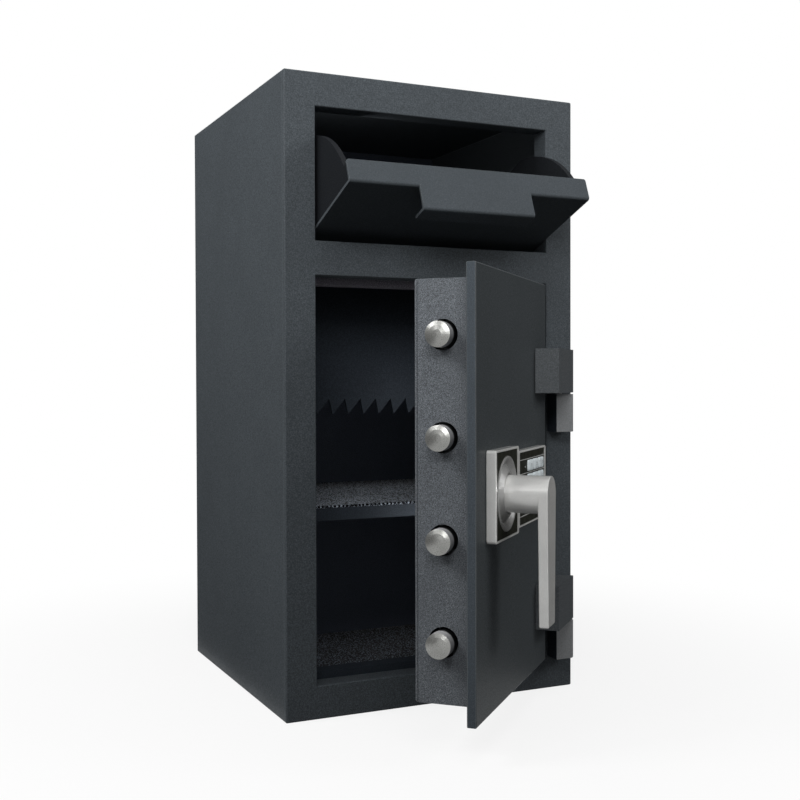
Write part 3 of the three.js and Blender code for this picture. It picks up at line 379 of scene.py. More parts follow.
def moulded(name, color, roughness, grain_size=0.6 * MM, gloss=0.4):
    material, tree, shader = new_material(name)
    where = coordinates(tree)
    spark = noise(tree, where, grain_size, 2)
    handling = noise(tree, where, handling_size, 3)
    base = ramp(tree, handling, [(0.3, shaded(color, 0.94)), (0.7, as_seen(*color))])
    dress(tree, shader, base, spread(tree, handling, roughness - 0.08, roughness + 0.08),
          relief(tree, spark, 0.2, 0.04 * MM), {"Specular IOR Level": gloss})
    return material


dark_inlay = moulded("dark_inlay", (0.135, 0.138, 0.118), 0.5, gloss=0.05)
key_plastic = moulded("key_plastic", (0.95, 0.985, 1), 0.35, gloss=0.5)
numeral_print = moulded("numeral_print", (0.2, 0.22, 0.24), 0.5, 0.3 * MM)
case_zinc = moulded("lock_case_zinc", (0.2, 0.2, 0.21), 0.5)
clear_lens = moulded("clear_lens", (0.94, 0.95, 0.96), 0.2, 0.4 * MM, 0.6)
print("moulded finishes:", dark_inlay.name, key_plastic.name, clear_lens.name)

# %% [markdown]
# The shelf and the floor of the compartment are lined with needled carpet: dark grey fibres with
# pale ones among them, matt, and cut straight at the front. Its pile is too fine to model hair by
# hair over the whole sheet, so the tufts come from the mesh and the fibres from noise at two sizes.
# The finer noise is drawn out from front to back, as the needles leave the fibres, and the share says
# how much of it stays dark.

# %% Carpet
fibre_stretch = (1, 0.45, 1)
tuft_cloud_size = 3.2 * MM
pile_levels = {"Specular IOR Level": 0.1, "Sheen Weight": 0.15, "Sheen Roughness": 0.5}


def carpet_material(name, dark, pale, fibre_size, share):
    material, tree, shader = new_material(name)
    fibre = noise(tree, coordinates(tree, fibre_stretch), fibre_size, 0.5, 0.5)
    tuft = noise(tree, coordinates(tree), tuft_cloud_size, 2)
    base = ramp(tree, fibre, [(share, as_seen(*dark)), (share + 0.08, as_seen(*pale))])
    deep = relief(tree, tuft, 0.5, 1.0 * MM)
    dress(tree, shader, base, spread(tree, tuft, 0.88, 1.0),
          relief(tree, fibre, 0.8, 0.6 * MM, deep), pile_levels)
    return material


shelf_pile = carpet_material("shelf_pile", (0.05, 0.055, 0.07), (0.62, 0.66, 0.71), 1.35 * MM, 0.47)
# Painted shade: the floor's carpet has darker fibres and a larger dark share than the shelf's.
floor_pile = carpet_material("floor_pile", (0.01, 0.012, 0.02), (0.53, 0.57, 0.63), 1.5 * MM, 0.545)
print("carpets:", shelf_pile.name, floor_pile.name)

# %% [markdown]
# Each piece now takes its finish. A table from finish to piece names is easier to check against the
# real safe than a line for each piece, and it fails loudly where a name is wrong.

# %% Finishes for every piece
finish_of = {
    body_coat: ["body_wrap", "back_panel", "front_frame"],
    rail_coat_painted_light: ["frame_rail_top"],
    hinge_coat: ["hinge_block_door_upper", "hinge_block_door_lower"],
    drawer_coat: ["drawer_front"],
    hopper_coat: ["drawer_cheek_left", "drawer_cheek_right", "drawer_tray"],
    box_coat_and_painted_light: ["bolt_frame", "bolt_cover"],
    door_coat_painted_shade: ["door_plate"],
    block_coat_painted_light: ["hinge_block_body_upper", "hinge_block_body_lower"],
    inside_coat_and_painted_shade: ["frame_rail_bottom", "door_stop_pad", "chute_deck", "sawtooth_baffle", "shelf",
                  "shelf_ledge_left", "shelf_ledge_right"],
    turned_steel: ["bolt_1", "bolt_2", "bolt_3", "bolt_4", "hinge_pin_upper", "hinge_pin_lower",
                   "drawer_pivot_left", "drawer_pivot_right", "guide_stud_upper",
                   "guide_stud_lower", "spindle", "drive_pinion"],
    milled_steel: ["bolt_carriage", "lock_lug", "lock_bolt", "dead_bar"],
    silver: ["handle_lever"],
    pale_silver_painted_light: ["handle_plate", "keypad_housing"],
    ring_silver_painted_shade: ["handle_ring"],
    dark_inlay: ["handle_inlay", "keypad_fascia"],
    case_zinc: ["lock_case"],
    clear_lens: ["keypad_led"],
    shelf_pile: ["shelf_carpet"],
    floor_pile: ["floor_carpet"],
    key_plastic: [name for name in nodes if name.startswith("key_row")],
}


def give(obj, material):
    obj.data.materials.clear()
    obj.data.materials.append(material)


for material, names in finish_of.items():
    for name in names:
        give(nodes[name], material)
left_bare = set(nodes) - {name for names in finish_of.values() for name in names}
print("finished:", sum(len(names) for names in finish_of.values()), "bare:", sorted(left_bare))

# %% [markdown]
# The door stands ajar, so what sits on it is measured along the door's own directions. The keypad's
# face gives them: its largest upright face looks straight out of the door.

# %% Directions of the open door
def faces_upright(face):
    return abs(face.normal.z) < 0.1


fascia_faces = nodes["keypad_fascia"].data.polygons
outward = max(filter(faces_upright, fascia_faces), key=lambda face: face.area).normal
outward = Vector((outward.x, outward.y, 0)).normalized()
if outward.y > 0:
    outward = -outward
rightward = upright.cross(outward).normalized()
door_turn = Matrix((rightward, upright, outward)).transposed()
print("door open by", round(math.degrees(math.atan2(outward.x, -outward.y)), 1), "degrees")

# %% [markdown]
# Bmesh builds a mesh point by point or from ready-made shapes, and the result has to become an object
# before anything can use it. That step is the same each time, so it is one function. The first things
# made with it are four round drills, one on the line of each bolt.

# %% Drills on the lines of the bolts
bolt_names = [f"bolt_{k}" for k in (1, 2, 3, 4)]
bore_radius = 15 * MM
drill_length = 80 * MM
drill_sides = 48


def made_piece(name, mesh, finish=None, smooth=False):
    bmesh.ops.recalc_face_normals(mesh, faces=mesh.faces)
    data = bpy.data.meshes.new(name)
    mesh.to_mesh(data)
    mesh.free()
    for face in data.polygons:
        face.use_smooth = smooth
    piece = bpy.data.objects.new(name, data)
    scene.collection.objects.link(piece)
    if finish:
        give(piece, finish)
    return piece


def middle_of(node):
    low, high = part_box(node)
    return (low + high) / 2


def drill_at(middle):
    mesh = bmesh.new()
    bmesh.ops.create_cone(mesh, cap_ends=True, segments=drill_sides, radius1=bore_radius,
                          radius2=bore_radius, depth=drill_length)
    bolt_turn = Matrix((upright, outward, rightward)).transposed().to_4x4()
    mesh.transform(Matrix.Translation(middle) @ bolt_turn)
    return made_piece("drill", mesh)


bolt_middles = [middle_of(name) for name in bolt_names]
drills = [drill_at(middle) for middle in bolt_middles]
print("drills:", len(drills), "of", round(2 * bore_radius / MM, 1), "mm")

# %% [markdown]
# The bolts pass through the box with clear room all round, and the gap shows black. The plain box has
# tight holes, so a copy of it with wider ones stands in its place. Modifiers do the work: a weld joins
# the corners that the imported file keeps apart, a bevel breaks the edges, and a boolean cuts each bore.
# The exact cut leaves a few slivers along the rounded edges, which a dissolve then takes away.

# %% Bolt box with clear bores
weld_distance = 0.01 * MM
sliver_width = 0.004 * MM
box_edge_radius = 0.2 * MM
edge_segments = 2
edge_angle = math.radians(35)


def round_edges(obj, radius, miter="MITER_ARC"):
    weld = obj.modifiers.new("join_corners", "WELD")
    weld.merge_threshold = weld_distance
    edge = obj.modifiers.new("broken_edges", "BEVEL")
    edge.width = radius
    edge.segments = edge_segments
    edge.limit_method = "ANGLE"
    edge.angle_limit = edge_angle
    edge.miter_outer = miter
    return edge


def without_slivers(data):
    mesh = bmesh.new()
    mesh.from_mesh(data)
    bmesh.ops.dissolve_degenerate(mesh, dist=sliver_width, edges=mesh.edges)
    mesh.to_mesh(data)
    mesh.free()
    return data


bolt_box = bpy.data.objects.new("bolt_box", nodes["bolt_frame"].data.copy())
scene.collection.objects.link(bolt_box)
round_edges(bolt_box, box_edge_radius, "MITER_SHARP")
for drill in drills:
    cut = bolt_box.modifiers.new("bore", "BOOLEAN")
    cut.operation = "DIFFERENCE"
    cut.solver = "EXACT"
    cut.object = drill
bpy.context.view_layer.update()
bored = bpy.data.meshes.new_from_object(bolt_box.evaluated_get(bpy.context.evaluated_depsgraph_get()))
bolt_box.modifiers.clear()
bolt_box.data = without_slivers(bored)
for drill in drills:
    bpy.data.objects.remove(drill)
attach(bolt_box, "door")
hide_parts("bolt_frame")
print("bolt box faces:", len(bored.polygons))

# %% [markdown]
# The walls of the bores are painted nearly black, as painted shade for the dark gap round each bolt.
# They need no name of their own: a face lines a bore if it lies near a bolt's line and doesn't look
# along it. The slant is how much of a face's direction lies along the bolt, from 0 to 1.

# %% Painted shade on the walls of the bores
# Painted shade: the bores' walls are painted near black, for the dark gap round each bolt.
bore_black = moulded("bore_black", (0.02, 0.02, 0.022), 0.9, 0.5 * MM, 0.02)
bore_reach = 1.05 * bore_radius
wall_slant = 0.3


def lines_a_bore(face):
    if abs(face.normal.dot(rightward)) > wall_slant:
        return False
    offsets = [face.center - middle for middle in bolt_middles]
    return any((offset - offset.dot(rightward) * rightward).length < bore_reach for offset in offsets)


bored.materials.clear()
for finish in (box_coat_and_painted_light, bore_black):
    bored.materials.append(finish)
for face in bored.polygons:
    face.use_smooth = False
    face.material_index = int(lines_a_bore(face))
print("faces that line a bore:", sum(face.material_index for face in bored.polygons))

# %% [markdown]
# A bolt's round side is turned, while its nose is faced off square and rubbed bright, so the nose
# mirrors what stands before it. The faces that look along the bolt take that finish. A piece can hold
# several finishes: each face says by a number which of them it wears.

# %% Bright noses of the bolts
nose_slant = 0.6


def coat_faces(name, finish, chosen):
    mesh = nodes[name].data
    mesh.materials.append(finish)
    faces = [face for face in mesh.polygons if chosen(face)]
    for face in faces:
        face.material_index = len(mesh.materials) - 1
    print(name, "faces in", finish.name + ":", len(faces))


for name in bolt_names:
    coat_faces(name, faced_steel, lambda face: abs(face.normal.dot(rightward)) > nose_slant)

# %% [markdown]
# A wide dark gap shows behind a bolt's bright end, where its side lies in the shade of the bore, so the
# rest of the bolt is painted near black as painted shade. The two tones lie on one round side, so the
# material itself tells them apart: it measures how far a point lies along the bolt, and mixes the
# painted shade in past the bright end.

# %% Painted shade on the shanks of the bolts
bright_length = 13.8 * MM
fade_length = 0.4 * MM
# Painted shade: past the bright end the bolt's colour turns near black.
shank_painted_shade = (0.05, 0.05, 0.052)


def node_of(material, kind):
    return next(node for node in material.node_tree.nodes if node.type == kind)


tip = min(corner.co.dot(rightward) for corner in nodes["bolt_1"].data.vertices)
bright_end = tip + bright_length
bolt_steel = bare_steel("bolt_steel", (0.76, 0.76, 0.765), turned_rings, 0.4, 0.1)
bolt_tree = bolt_steel.node_tree
bolt_color = node_of(bolt_steel, "BSDF_PRINCIPLED").inputs["Base Color"]
measure = bolt_tree.nodes.new("ShaderNodeVectorMath")
measure.operation = "DOT_PRODUCT"
measure.inputs[1].default_value = rightward
bolt_tree.links.new(coordinates(bolt_tree), measure.inputs[0])
painted_shade_share = spread(bolt_tree, measure.outputs["Value"], 0, 1, bright_end, bright_end + fade_length)
bolt_color_with_shade = tinted(bolt_tree, bolt_color.links[0].from_socket, painted_shade_share, as_seen(*shank_painted_shade))
bolt_tree.links.new(bolt_color_with_shade, bolt_color)
for name in bolt_names:
    nodes[name].data.materials[0] = bolt_steel
print("bolts are bright for", round(bright_length / MM, 1), "mm")

# %% [markdown]
# Cut sheet and cast metal never end in a perfectly sharp edge: a fold has a radius and a cut edge is
# broken, and that thin round is what catches the light. A bevel could be modelled on each piece, but
# the modifiers that broke the bolt box's edges do it for all of them and leave the pieces' own meshes
# alone. On the drawer, the door and the body the bevel gives its new faces a paler, shinier coat, a
# painted highlight that draws pale lines along the edges. The table holds each piece's edge radius in
# millimetres.

# %% Soft edges
# Where an edge coat is given, the bevel's new faces wear it, as a painted highlight along the edge.
def soften(obj, radius, edge_highlight=None):
    edge = round_edges(obj, radius)
    if edge_highlight:
        obj.data.materials.append(edge_highlight)
        edge.material = len(obj.data.materials) - 1
    shading = obj.modifiers.new("flat_faces_rule", "WEIGHTED_NORMAL")
    shading.keep_sharp = True
    shading.weight = 80


edge_radius = {
    "front_frame": 0.7, "body_wrap": 0.7, "bolt_cover": 0.2, "door_plate": 0.6,
    "hinge_block_door_upper": 0.6, "hinge_block_door_lower": 0.6, "hinge_block_body_upper": 0.5,
    "hinge_block_body_lower": 0.5, "shelf": 0.5, "drawer_front": 0.6, "drawer_tray": 0.4,
    "drawer_cheek_left": 0.4, "drawer_cheek_right": 0.4, "sawtooth_baffle": 0.3,
    "door_stop_pad": 0.8, "dead_bar": 0.5, "lock_case": 0.5, "chute_deck": 0.3,
}
# Painted highlights: the pale edge coats of the drawer, the door and the body.
edge_highlight_of = {"drawer_front": drawer_edge_highlight, "door_plate": door_edge_highlight, "body_wrap": body_edge_highlight}
for name, radius in edge_radius.items():
    soften(nodes[name], radius * MM, edge_highlight=edge_highlight_of.get(name))
print("softened pieces:", len(edge_radius))

# %% [markdown]
# Some faces of a piece take a coat of their own, as painted light and shade: the two upright sides of
# the door plate, the inner face of the back panel and the left sides of the door's hinge blocks are
# painted paler than the rest of their piece, as painted light, and the left sides of the body's hinge
# blocks are painted dark, as painted shade. The tones are matched face by face, and each of these
# faces is found by the way it looks.

# %% Faces with painted light and shade
plate_side_area = 100 * MM * MM
plate_square_on = 0.99
square_on = 0.9


def is_plate_side(face):
    return abs(face.normal.dot(rightward)) > plate_square_on and face.area > plate_side_area


# Painted light on the door plate's upright sides.
coat_faces("door_plate", door_side_painted_light, is_plate_side)
# Painted light on the back panel's inner face.
coat_faces("back_panel", back_inside_painted_light, lambda face: face.normal.y < -square_on)
# Painted light on the left sides of the door's hinge blocks, painted shade on those of the body's blocks.
for end in ("upper", "lower"):
    coat_faces(f"hinge_block_door_{end}", block_side_painted_light,
               lambda face: face.normal.dot(rightward) < -square_on)
    coat_faces(f"hinge_block_body_{end}", inside_coat_and_painted_shade, lambda face: face.normal.x < -square_on)

# %% [markdown]
# The floor is plain pale paper. In the studio picture it runs out into pure white, so the camera and
# the reflections see the paper only near the safe, where it keeps the soft shadow, and farther out a
# white that glows at strength 1. The light that bounces off a real floor would fill the lower half of
# the safe. In the picture that half is dark, as over a dark stand, so diffuse rays meet a dark grey.

# %% Floor
floor_half = 12
paper_radius = 0.2
white_radius = 0.85
least_white = 0.84
paper_tones = (0.95, 0.97)
paper_grain = 4 * MM
stand_tone = 0.16


def pale_paper(name):
    material, tree, shader = new_material(name)
    ground = coordinates(tree)
    dull, clean = (as_seen(tone, tone, tone) for tone in paper_tones)
    base = ramp(tree, noise(tree, ground, paper_grain, 2), [(0.3, dull), (0.7, clean)])
    tree.links.new(base, shader.inputs["Base Color"])
    shader.inputs["Roughness"].default_value = 0.9
    shader.inputs["Specular IOR Level"].default_value = 0.05
    white = tree.nodes.new("ShaderNodeEmission")
    white.inputs["Color"].default_value = (1, 1, 1, 1)
    white.inputs["Strength"].default_value = 1
    away = tree.nodes.new("ShaderNodeVectorMath")
    away.operation = "LENGTH"
    tree.links.new(ground, away.inputs[0])
    fading = spread(tree, away.outputs["Value"], least_white, 1, paper_radius, white_radius)
    fading.node.interpolation_type = "SMOOTHSTEP"
    sweep = mixed(tree, fading, shader.outputs["BSDF"], white.outputs[0])
    dark_stand = tree.nodes.new("ShaderNodeBsdfDiffuse")
    dark_stand.inputs["Color"].default_value = as_seen(stand_tone, stand_tone, stand_tone)
    rays = tree.nodes.new("ShaderNodeLightPath")
    choice = mixed(tree, rays.outputs["Is Diffuse Ray"], sweep, dark_stand.outputs[0])
    tree.links.new(choice, node_of(material, "OUTPUT_MATERIAL").inputs["Surface"])
    return material


floor_mesh = bpy.data.meshes.new("studio_floor")
floor_corners = [(floor_half * x, floor_half * y, 0) for x, y in ((-1, -1), (1, -1), (1, 1), (-1, 1))]
floor_mesh.from_pydata(floor_corners, [], [(0, 1, 2, 3)])
floor = bpy.data.objects.new("studio_floor", floor_mesh)
scene.collection.objects.link(floor)
floor.data.materials.append(pale_paper("pale_paper"))
print("floor side:", 2 * floor_half, "m")

# %% [markdown]
# Two big softboxes do most of the work: one in front, a little to the left, and one at the left. They
# stand close, so their light falls off down the safe: the top is well lit and the foot is dark, as in
# the picture. The bolt box faces both and is the brightest paint, and the outer face of the door
# catches the front one only at a graze and stays dark. A weaker box from the right opens that face and
# a weak one above the front lifts the drawer. A narrow strip at the left draws the bright line along
# the hub and on the noses of the bolts. Each softbox has its power worked out from its distance, so
# its share of the light is a plain number. Three very small lamps stand inside the openings, where
# little room light reaches, and just show the walls behind. Their numbers are their power in watts.

# %% Lamps
lamp_target = Vector((0, 0, 350 * MM))
inner_lamp_side = 0.06


def area_lamp(name, place, facing, side, power):
    light = bpy.data.lights.new(name, "AREA")
    light.shape = "SQUARE"
    light.size = side
    light.energy = power
    lamp = bpy.data.objects.new(name, light)
    lamp.location = place
    lamp.rotation_euler = Vector(facing).to_track_quat("-Z", "Y").to_euler()
    scene.collection.objects.link(lamp)
    print(name, "power", round(power, 3), "W")


def softbox(name, place, side, share):
    beam = lamp_target - Vector(place)
    area_lamp(name, place, beam, side, share * math.pi ** 2 * beam.length ** 2)


softbox("softbox_front", (-0.7, -1.6, 1.05), 0.9, 0.68)
softbox("softbox_top", (-0.2, -0.9, 1.6), 0.5, 0.14)
softbox("softbox_left", (-1.35, -0.1, 1.45), 0.6, 0.5)
softbox("softbox_strip", (-1.55, -0.85, 1.3), 0.2, 0.07)
softbox("softbox_right", (1.8, -1.4, 1.3), 0.9, 0.27)


def inner_light(name, place, facing, power):
    area_lamp(name, place, facing, inner_lamp_side, power)


inner_light("inner_light_chute", (-0.1, -0.12, 0.625), (1, 0.5, 0), 0.05)
inner_light("inner_light_upper", (0.02, -0.11, 0.33), (-0.3, 1, 0), 0.015)
inner_light("inner_light_lower", (0.02, -0.155, 0.2), (-0.3, 1, 0), 0.05)

# %% [markdown]
# Seen at a graze, even a matt dark coat mirrors the white room and turns pale. Photographers stand
# black cards, called flags, where such faces would mirror the room: here one behind at the left, for
# the cabinet's side, one behind at the right, for the open door, and a lower one at the left, which
# gives the bolts' noses their dark half. Each has a foot that lies on the floor. They are out of the
# picture and only reflections see them. One more card stands low in front of the front softbox and
# only casts a shadow: it hides the lower part of the box from the foot of the safe, so that the light
# fades softly downwards.

# %% Flags
flag_lift = 2 * MM
flag_black, _, flag_shader = new_material("flag_black")
flag_shader.inputs["Base Color"].default_value = (0, 0, 0, 1)
flag_shader.inputs["Specular IOR Level"].default_value = 0


def card(name, corners, faces):
    card_mesh = bpy.data.meshes.new(name)
    card_mesh.from_pydata(corners, [], faces)
    piece = bpy.data.objects.new(name, card_mesh)
    card_mesh.materials.append(flag_black)
    scene.collection.objects.link(piece)
    piece.visible_camera = False
    piece.visible_diffuse = False
    piece.visible_transmission = False
    print(name, "stands ready")
    return piece


def flag(name, left, right, near, height):
    corners = [(*left, flag_lift), (*right, flag_lift), (*right, height), (*left, height)]
    foot = [(*place, flag_lift) for place in near]
    foot_face = (0, 1, *range(4, 4 + len(foot)))
    card(name, corners + foot, [(0, 1, 2, 3), foot_face]).visible_shadow = False


def cutter(name, left, right, height):
    corners = [(*left, 0), (*right, 0), (*right, height), (*left, height)]
    card(name, corners, [(0, 1, 2, 3)]).visible_glossy = False


flag("flag_back_left", (-2.4, 0.7), (-0.25, 1.7), [(-0.19, 0.17), (-0.19, -0.18), (-1.2, 0)], 1.7)
flag("flag_back_right", (0.6, 1.5), (1.5, -0.5), [(0.25, -0.5), (0.19, -0.18), (0.19, 0.17)], 1.7)
flag("flag_left", (-1.9, -1.3), (-2.4, 0.7), [(-0.6, -0.2)], 1.2)
cutter("front_cutter", (-1.5, -1.0), (0.8, -1.0), 0.76)

# %% [markdown]
# The shelf and floor linings are cloth, so each one is rebuilt as a thin sheet with a tufted top in
# place of its plain block. A grid with raised and sunk points gives the tufts, and small seeded
# differences keep the rows from looking machined. The front edge drops straight down.

# %% Linings
tuft_pitch = 2.2 * MM
tuft_height = 0.9 * MM
crest_share = 0.15
least_sink_share = 0.35
wander_share = 0.25


def join_rings(mesh, rings):
    for lower, upper in zip(rings, rings[1:]):
        for k in range(len(lower)):
            after = (k + 1) % len(lower)
            corners = (lower[k], lower[after], upper[after], upper[k])
            mesh.faces.new(list(dict.fromkeys(corners)))


def tufted_grid(mesh, low, high, seed):
    dice = random.Random(seed)
    columns = round((high.x - low.x) / tuft_pitch)
    rows = round((high.y - low.y) / tuft_pitch)
    grid = []
    for j in range(rows + 1):
        line = []
        for i in range(columns + 1):
            inside = 0 < i < columns and 0 < j < rows
            sink_share = crest_share
            if (i + j) % 2:
                sink_share = least_sink_share + (1 - least_sink_share) * dice.random()
            wander = wander_share * tuft_pitch if inside else 0
            line.append(mesh.verts.new((
                low.x + (high.x - low.x) * i / columns + wander * (dice.random() - 0.5),
                low.y + (high.y - low.y) * j / rows + wander * (dice.random() - 0.5),
                high.z - tuft_height * sink_share)))
        grid.append(line)
    return grid


def lining(name, node, pile, seed):
    low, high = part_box(node)
    mesh = bmesh.new()
    grid = tufted_grid(mesh, low, high, seed)
    for line, following in zip(grid, grid[1:]):
        for i in range(len(line) - 1):
            mesh.faces.new((line[i], line[i + 1], following[i + 1], following[i]))
    tufts = len(mesh.faces)
    right_edge = [line[-1] for line in grid[1:]]
    left_edge = [line[0] for line in grid[-2:0:-1]]
    rim = grid[0] + right_edge + grid[-1][-2::-1] + left_edge
    feet = [mesh.verts.new((v.co.x, v.co.y, low.z)) for v in rim]
    join_rings(mesh, [feet, rim])
    mesh.faces.new(feet[::-1])
    piece = made_piece(name, mesh, pile, smooth=True)
    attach(piece, "root")
    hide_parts(node)
    print(name, "tufts:", tufts)
    return piece, (high.x - low.x, high.y - low.y)


floor_lining, floor_flat = lining("floor_lining", "floor_carpet", floor_pile, 6)
shelf_lining, shelf_flat = lining("shelf_lining", "shelf_carpet", shelf_pile, 5)

# %% [markdown]
# The front edge of the shelf's carpet is overcast with dark thread, which shows as a row of small
# dark stitches along the edge. A particle system could scatter them, but they are evenly spaced on a
# straight line, so a loop lays each one: a flat strand that comes out of the pile, bends over the edge
# and goes in again below. Its path says how far back from the edge and how far below the pile's top
# each point lies, in millimetres.

# %% Stitches along the shelf's carpet
stitch_pitch = 5 * MM
stitch_width = 2.4 * MM
thread_crown = 0.15 * MM
thread_thickness = 0.3 * MM
thread_path = [(2.4, 0.4), (1.2, -0.15), (0, -0.3), (-0.35, 0.3), (-0.4, 1.3), (-0.2, 2.2)]
thread = moulded("dark_thread", (0.05, 0.05, 0.06), 0.9, 0.5 * MM, 0.05)


def lay_stitch(mesh, middle, low, high):
    rows = []
    for back, down in thread_path:
        y = low.y + back * MM
        z = high.z - down * MM
        rows.append([
            mesh.verts.new((middle - stitch_width / 2, y, z)),
            mesh.verts.new((middle, y - thread_crown, z + thread_crown)),
            mesh.verts.new((middle + stitch_width / 2, y, z))])
    for upper, lower in zip(rows, rows[1:]):
        for i in range(2):
            mesh.faces.new((upper[i], upper[i + 1], lower[i + 1], lower[i]))


def stitches(name, node):
    low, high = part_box(node)
    mesh = bmesh.new()
    count = int((high.x - low.x) / stitch_pitch) - 1
    for k in range(count):
        lay_stitch(mesh, low.x + (k + 1) * stitch_pitch, low, high)
    row = made_piece(name, mesh, thread)
    row.modifiers.new("thread_thickness", "SOLIDIFY").thickness = thread_thickness
    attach(row, "root")
    print(name, "stitches:", count)
    return row


edge_stitches = stitches("shelf_lining_stitches", "shelf_carpet")

# %% [markdown]
# The keypad sits on the open door, so its pieces are measured along the door's own directions:
# rightward and outward as found above, and up. Turning each point back by the door's angle does it.

# %% Measuring along the door
def door_box(node, above=None):
    points = [v.co for v in nodes[node].data.vertices]
    if above is not None:
        points = [point for point in points if point.dot(outward) > above]
    placed = [door_turn.transposed() @ point for point in points]
    low = Vector((min(p[i] for p in placed) for i in range(3)))
    high = Vector((max(p[i] for p in placed) for i in range(3)))
    return low, high


face_low, face_high = door_box("keypad_fascia")
print("keypad's face:", [round(side / MM, 1) for side in face_high - face_low], "mm")

# %% [markdown]
# The keys are soft caps with a crown, and they catch the light in the middle. The plain blocks have
# flat tops, so each is replaced by a cap made of rounded rings: straight walls up to the shoulder,
# then rings that shrink as they rise. Subdividing a block would give much the same crown, but rings
# keep the corner radius and the height exactly as the block has them. A ring is a rectangle with a
# quarter circle at each corner.

# %% Rounded rings
corner_steps = 4


def rounded_ring(mesh, half, corner, height):
    corner = min(corner, half.x, half.y)
    ring = []
    for quarter, (sx, sy) in enumerate(((1, 1), (-1, 1), (-1, -1), (1, -1))):
        for k in range(corner_steps + 1):
            angle = math.pi / 2 * (quarter + k / corner_steps)
            ring.append(mesh.verts.new((
                sx * (half.x - corner) + corner * math.cos(angle),
                sy * (half.y - corner) + corner * math.sin(angle), height)))
    return ring


print("points on a ring:", 4 * (corner_steps + 1))

# %% [markdown]
# A key has a thin flange at its foot, which stays behind the keypad's face, and the cap stands on it.
# The crown rises like a quarter circle and draws in as it does, and its corners draw in with it.

# %% Key caps
key_crown = 1.1 * MM
key_corner = 2 * MM
flange_thickness = 1 * MM
flange_corner = 0.5 * MM
flange_margin = 1 * MM
crown_turns = (15, 30, 45, 60, 75)
crown_draw_share = 0.5
crown_lean_share = 0.04
corner_draw_share = 0.5


def crown_ring(mesh, half, shoulder, turn):
    angle = math.radians(turn)
    shrink = crown_draw_share * (1 - math.cos(angle)) + crown_lean_share * math.sin(angle)
    corner = key_corner * (1 - corner_draw_share * shrink)
    height = shoulder + key_crown * math.sin(angle)
    return rounded_ring(mesh, half * (1 - shrink), corner, height)


def key_cap(node):
    low, high = door_box(node)
    cap_low, cap_high = door_box(node, above=(low.z + high.z) / 2 - flange_margin)
    centre = (cap_low + cap_high) / 2
    cap_half = (cap_high - cap_low) / 2
    flange_half = (high - low) / 2
    flange_top = low.z + flange_thickness
    shoulder = high.z - key_crown
    mesh = bmesh.new()
    rings = [
        rounded_ring(mesh, flange_half, flange_corner, low.z),
        rounded_ring(mesh, flange_half, flange_corner, flange_top),
        rounded_ring(mesh, cap_half, key_corner, flange_top),
        rounded_ring(mesh, cap_half, key_corner, shoulder)]
    rings += [crown_ring(mesh, cap_half, shoulder, turn) for turn in crown_turns]
    top = mesh.verts.new((0, 0, high.z))
    join_rings(mesh, rings + [[top] * len(rings[0])])
    mesh.faces.new(rings[0][::-1])
    mesh.transform(door_turn.to_4x4() @ Matrix.Translation((centre.x, centre.y, 0)))
    cap = made_piece(node.replace("key", "cap"), mesh, key_plastic, smooth=True)
    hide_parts(node)
    return cap, Vector((centre.x, centre.y, high.z))


key_names = sorted(name for name in nodes if name.startswith("key_row"))
body_of = {node: body for body, members in frame["record"]["behaviour"]["bodies"].items()
           for node in members}
caps = {name: key_cap(name) for name in key_names}
for name, (cap, top) in caps.items():
    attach(cap, body_of[name])
print("caps:", len(caps))

# %% [markdown]
# Each key carries a plain numeral, printed in raised ink. A text object with a little extrusion is
# the simplest way, and turning it into a mesh makes it an ordinary piece. A printed image would be
# the other way, but this model uses no images.

# %% Numerals
numeral_size = 5.2 * MM
ink_height = 0.12 * MM
ink_half_thickness = 0.15 * MM


def numeral(sign, node, top):
    text = bpy.data.curves.new("sign", "FONT")
    text.body = sign
    text.size = numeral_size
    text.extrude = ink_half_thickness
    text.resolution_u = 3
    text.align_x = "CENTER"
    text.align_y = "CENTER"
    holder = bpy.data.objects.new("sign", text)
    scene.collection.objects.link(holder)
    bpy.context.view_layer.update()
    shape = bpy.data.meshes.new_from_object(holder.evaluated_get(bpy.context.evaluated_depsgraph_get()))
    bpy.data.objects.remove(holder)
    bpy.data.curves.remove(text)
    sink = Vector((0, 0, ink_height - ink_half_thickness))
    shape.transform(door_turn.to_4x4() @ Matrix.Translation(top + sink))
    shape.name = node.replace("key", "numeral")
    print_piece = bpy.data.objects.new(shape.name, shape)
    scene.collection.objects.link(print_piece)
    give(print_piece, numeral_print)
    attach(print_piece, body_of[node])


signs = ("1", "2", "3", "4", "5", "6", "7", "8", "9", "*", "0", "#")
for sign, name in zip(signs, key_names):
    numeral(sign, name, caps[name][1])
print("numerals:", len(signs))

# %% [markdown]
# The keypad's signal lamp is a tiny pale dome in a dark collar. The plain disc stands for both, so
# two turned pieces replace it. Spinning a profile keeps them exactly round.

# %% Signal lamp
lens_radius = 0.8 * MM
spun_sides = 24


def spun_ring(mesh, radius, height):
    if radius == 0:
        return [mesh.verts.new((0, 0, height))] * spun_sides
    turns = [2 * math.pi * k / spun_sides for k in range(spun_sides)]
    return [mesh.verts.new((radius * math.cos(turn), radius * math.sin(turn), height)) for turn in turns]


def spun(name, profile, finish):
    mesh = bmesh.new()
    join_rings(mesh, [spun_ring(mesh, radius, share * lamp_height) for radius, share in profile])
    mesh.transform(door_turn.to_4x4() @ Matrix.Translation(lamp_foot))
    piece = made_piece(name, mesh, finish, smooth=True)
    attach(piece, "door")
    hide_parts("keypad_led")


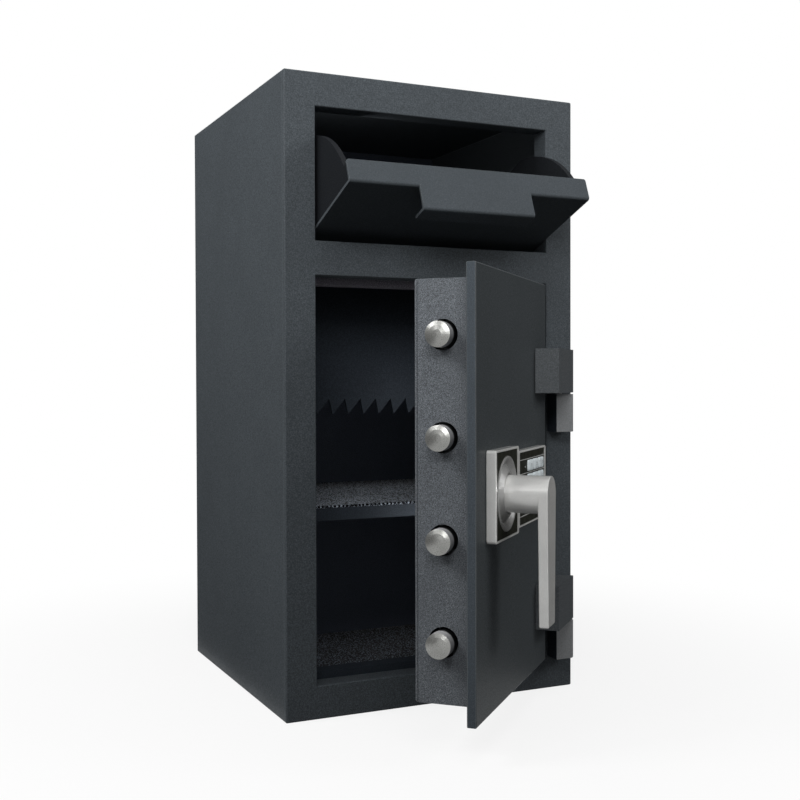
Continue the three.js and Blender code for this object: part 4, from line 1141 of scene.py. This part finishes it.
lamp_low, lamp_high = door_box("keypad_led")
lamp_middle = (lamp_low + lamp_high) / 2
lamp_radius = (lamp_high.x - lamp_low.x) / 2
lamp_foot = Vector((lamp_middle.x, lamp_middle.y, lamp_low.z))
lamp_height = lamp_high.z - lamp_low.z
rim_radius = lamp_radius - 0.15 * MM
mouth_radius = lens_radius + 0.2 * MM
collar_profile = [
    (0, 0), (lamp_radius, 0), (lamp_radius, 0.85), (rim_radius, 0.9), (mouth_radius, 0.9),
    (lens_radius, 0.82), (lens_radius, 0.5), (0, 0.5)]
lens_profile = [
    (0, 0.5), (lens_radius, 0.5), (lens_radius, 0.85), (0.75 * lens_radius, 0.95),
    (0.35 * lens_radius, 0.99), (0, 1)]
spun("lamp_collar", collar_profile, dark_inlay)
spun("lamp_lens", lens_profile, clear_lens)
print("lamp radius:", round(lamp_radius / MM, 2), "mm")

# %% [markdown]
# Fine silver lines part the rows of keys. They are inlaid strips of half-round section, one mesh for
# all, because they are one part of the fascia.

# %% Silver lines between the rows
line_half = 0.35 * MM
line_rise = 0.22 * MM
line_inset = 0.3 * MM
line_section = [(-1, -0.3), (-1, 0), (-0.6, 0.75), (0, 1), (0.6, 0.75), (1, 0), (1, -0.3)]


def fascia_lines(name, heights):
    mesh = bmesh.new()
    for height in heights:
        ends = []
        for x in (face_low.x + line_inset, face_high.x - line_inset):
            ends.append([
                mesh.verts.new((x, height + across * line_half, face_high.z + rise * line_rise))
                for across, rise in line_section])
        join_rings(mesh, ends)
        mesh.faces.new(ends[0][::-1])
        mesh.faces.new(ends[1])
    mesh.transform(door_turn.to_4x4())
    lines = made_piece(name, mesh, pale_silver_painted_light)
    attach(lines, "door")
    print(name, "at", [round(height / MM, 1) for height in heights], "mm")


key_rows = sorted({round(top.y, 5) for cap, top in caps.values()})
row_pitch = key_rows[1] - key_rows[0]
fascia_lines("keypad_lines", [row - row_pitch / 2 for row in key_rows] + [key_rows[-1] + row_pitch / 2])

# %% [markdown]

# %% End of the scene
print("scene built")
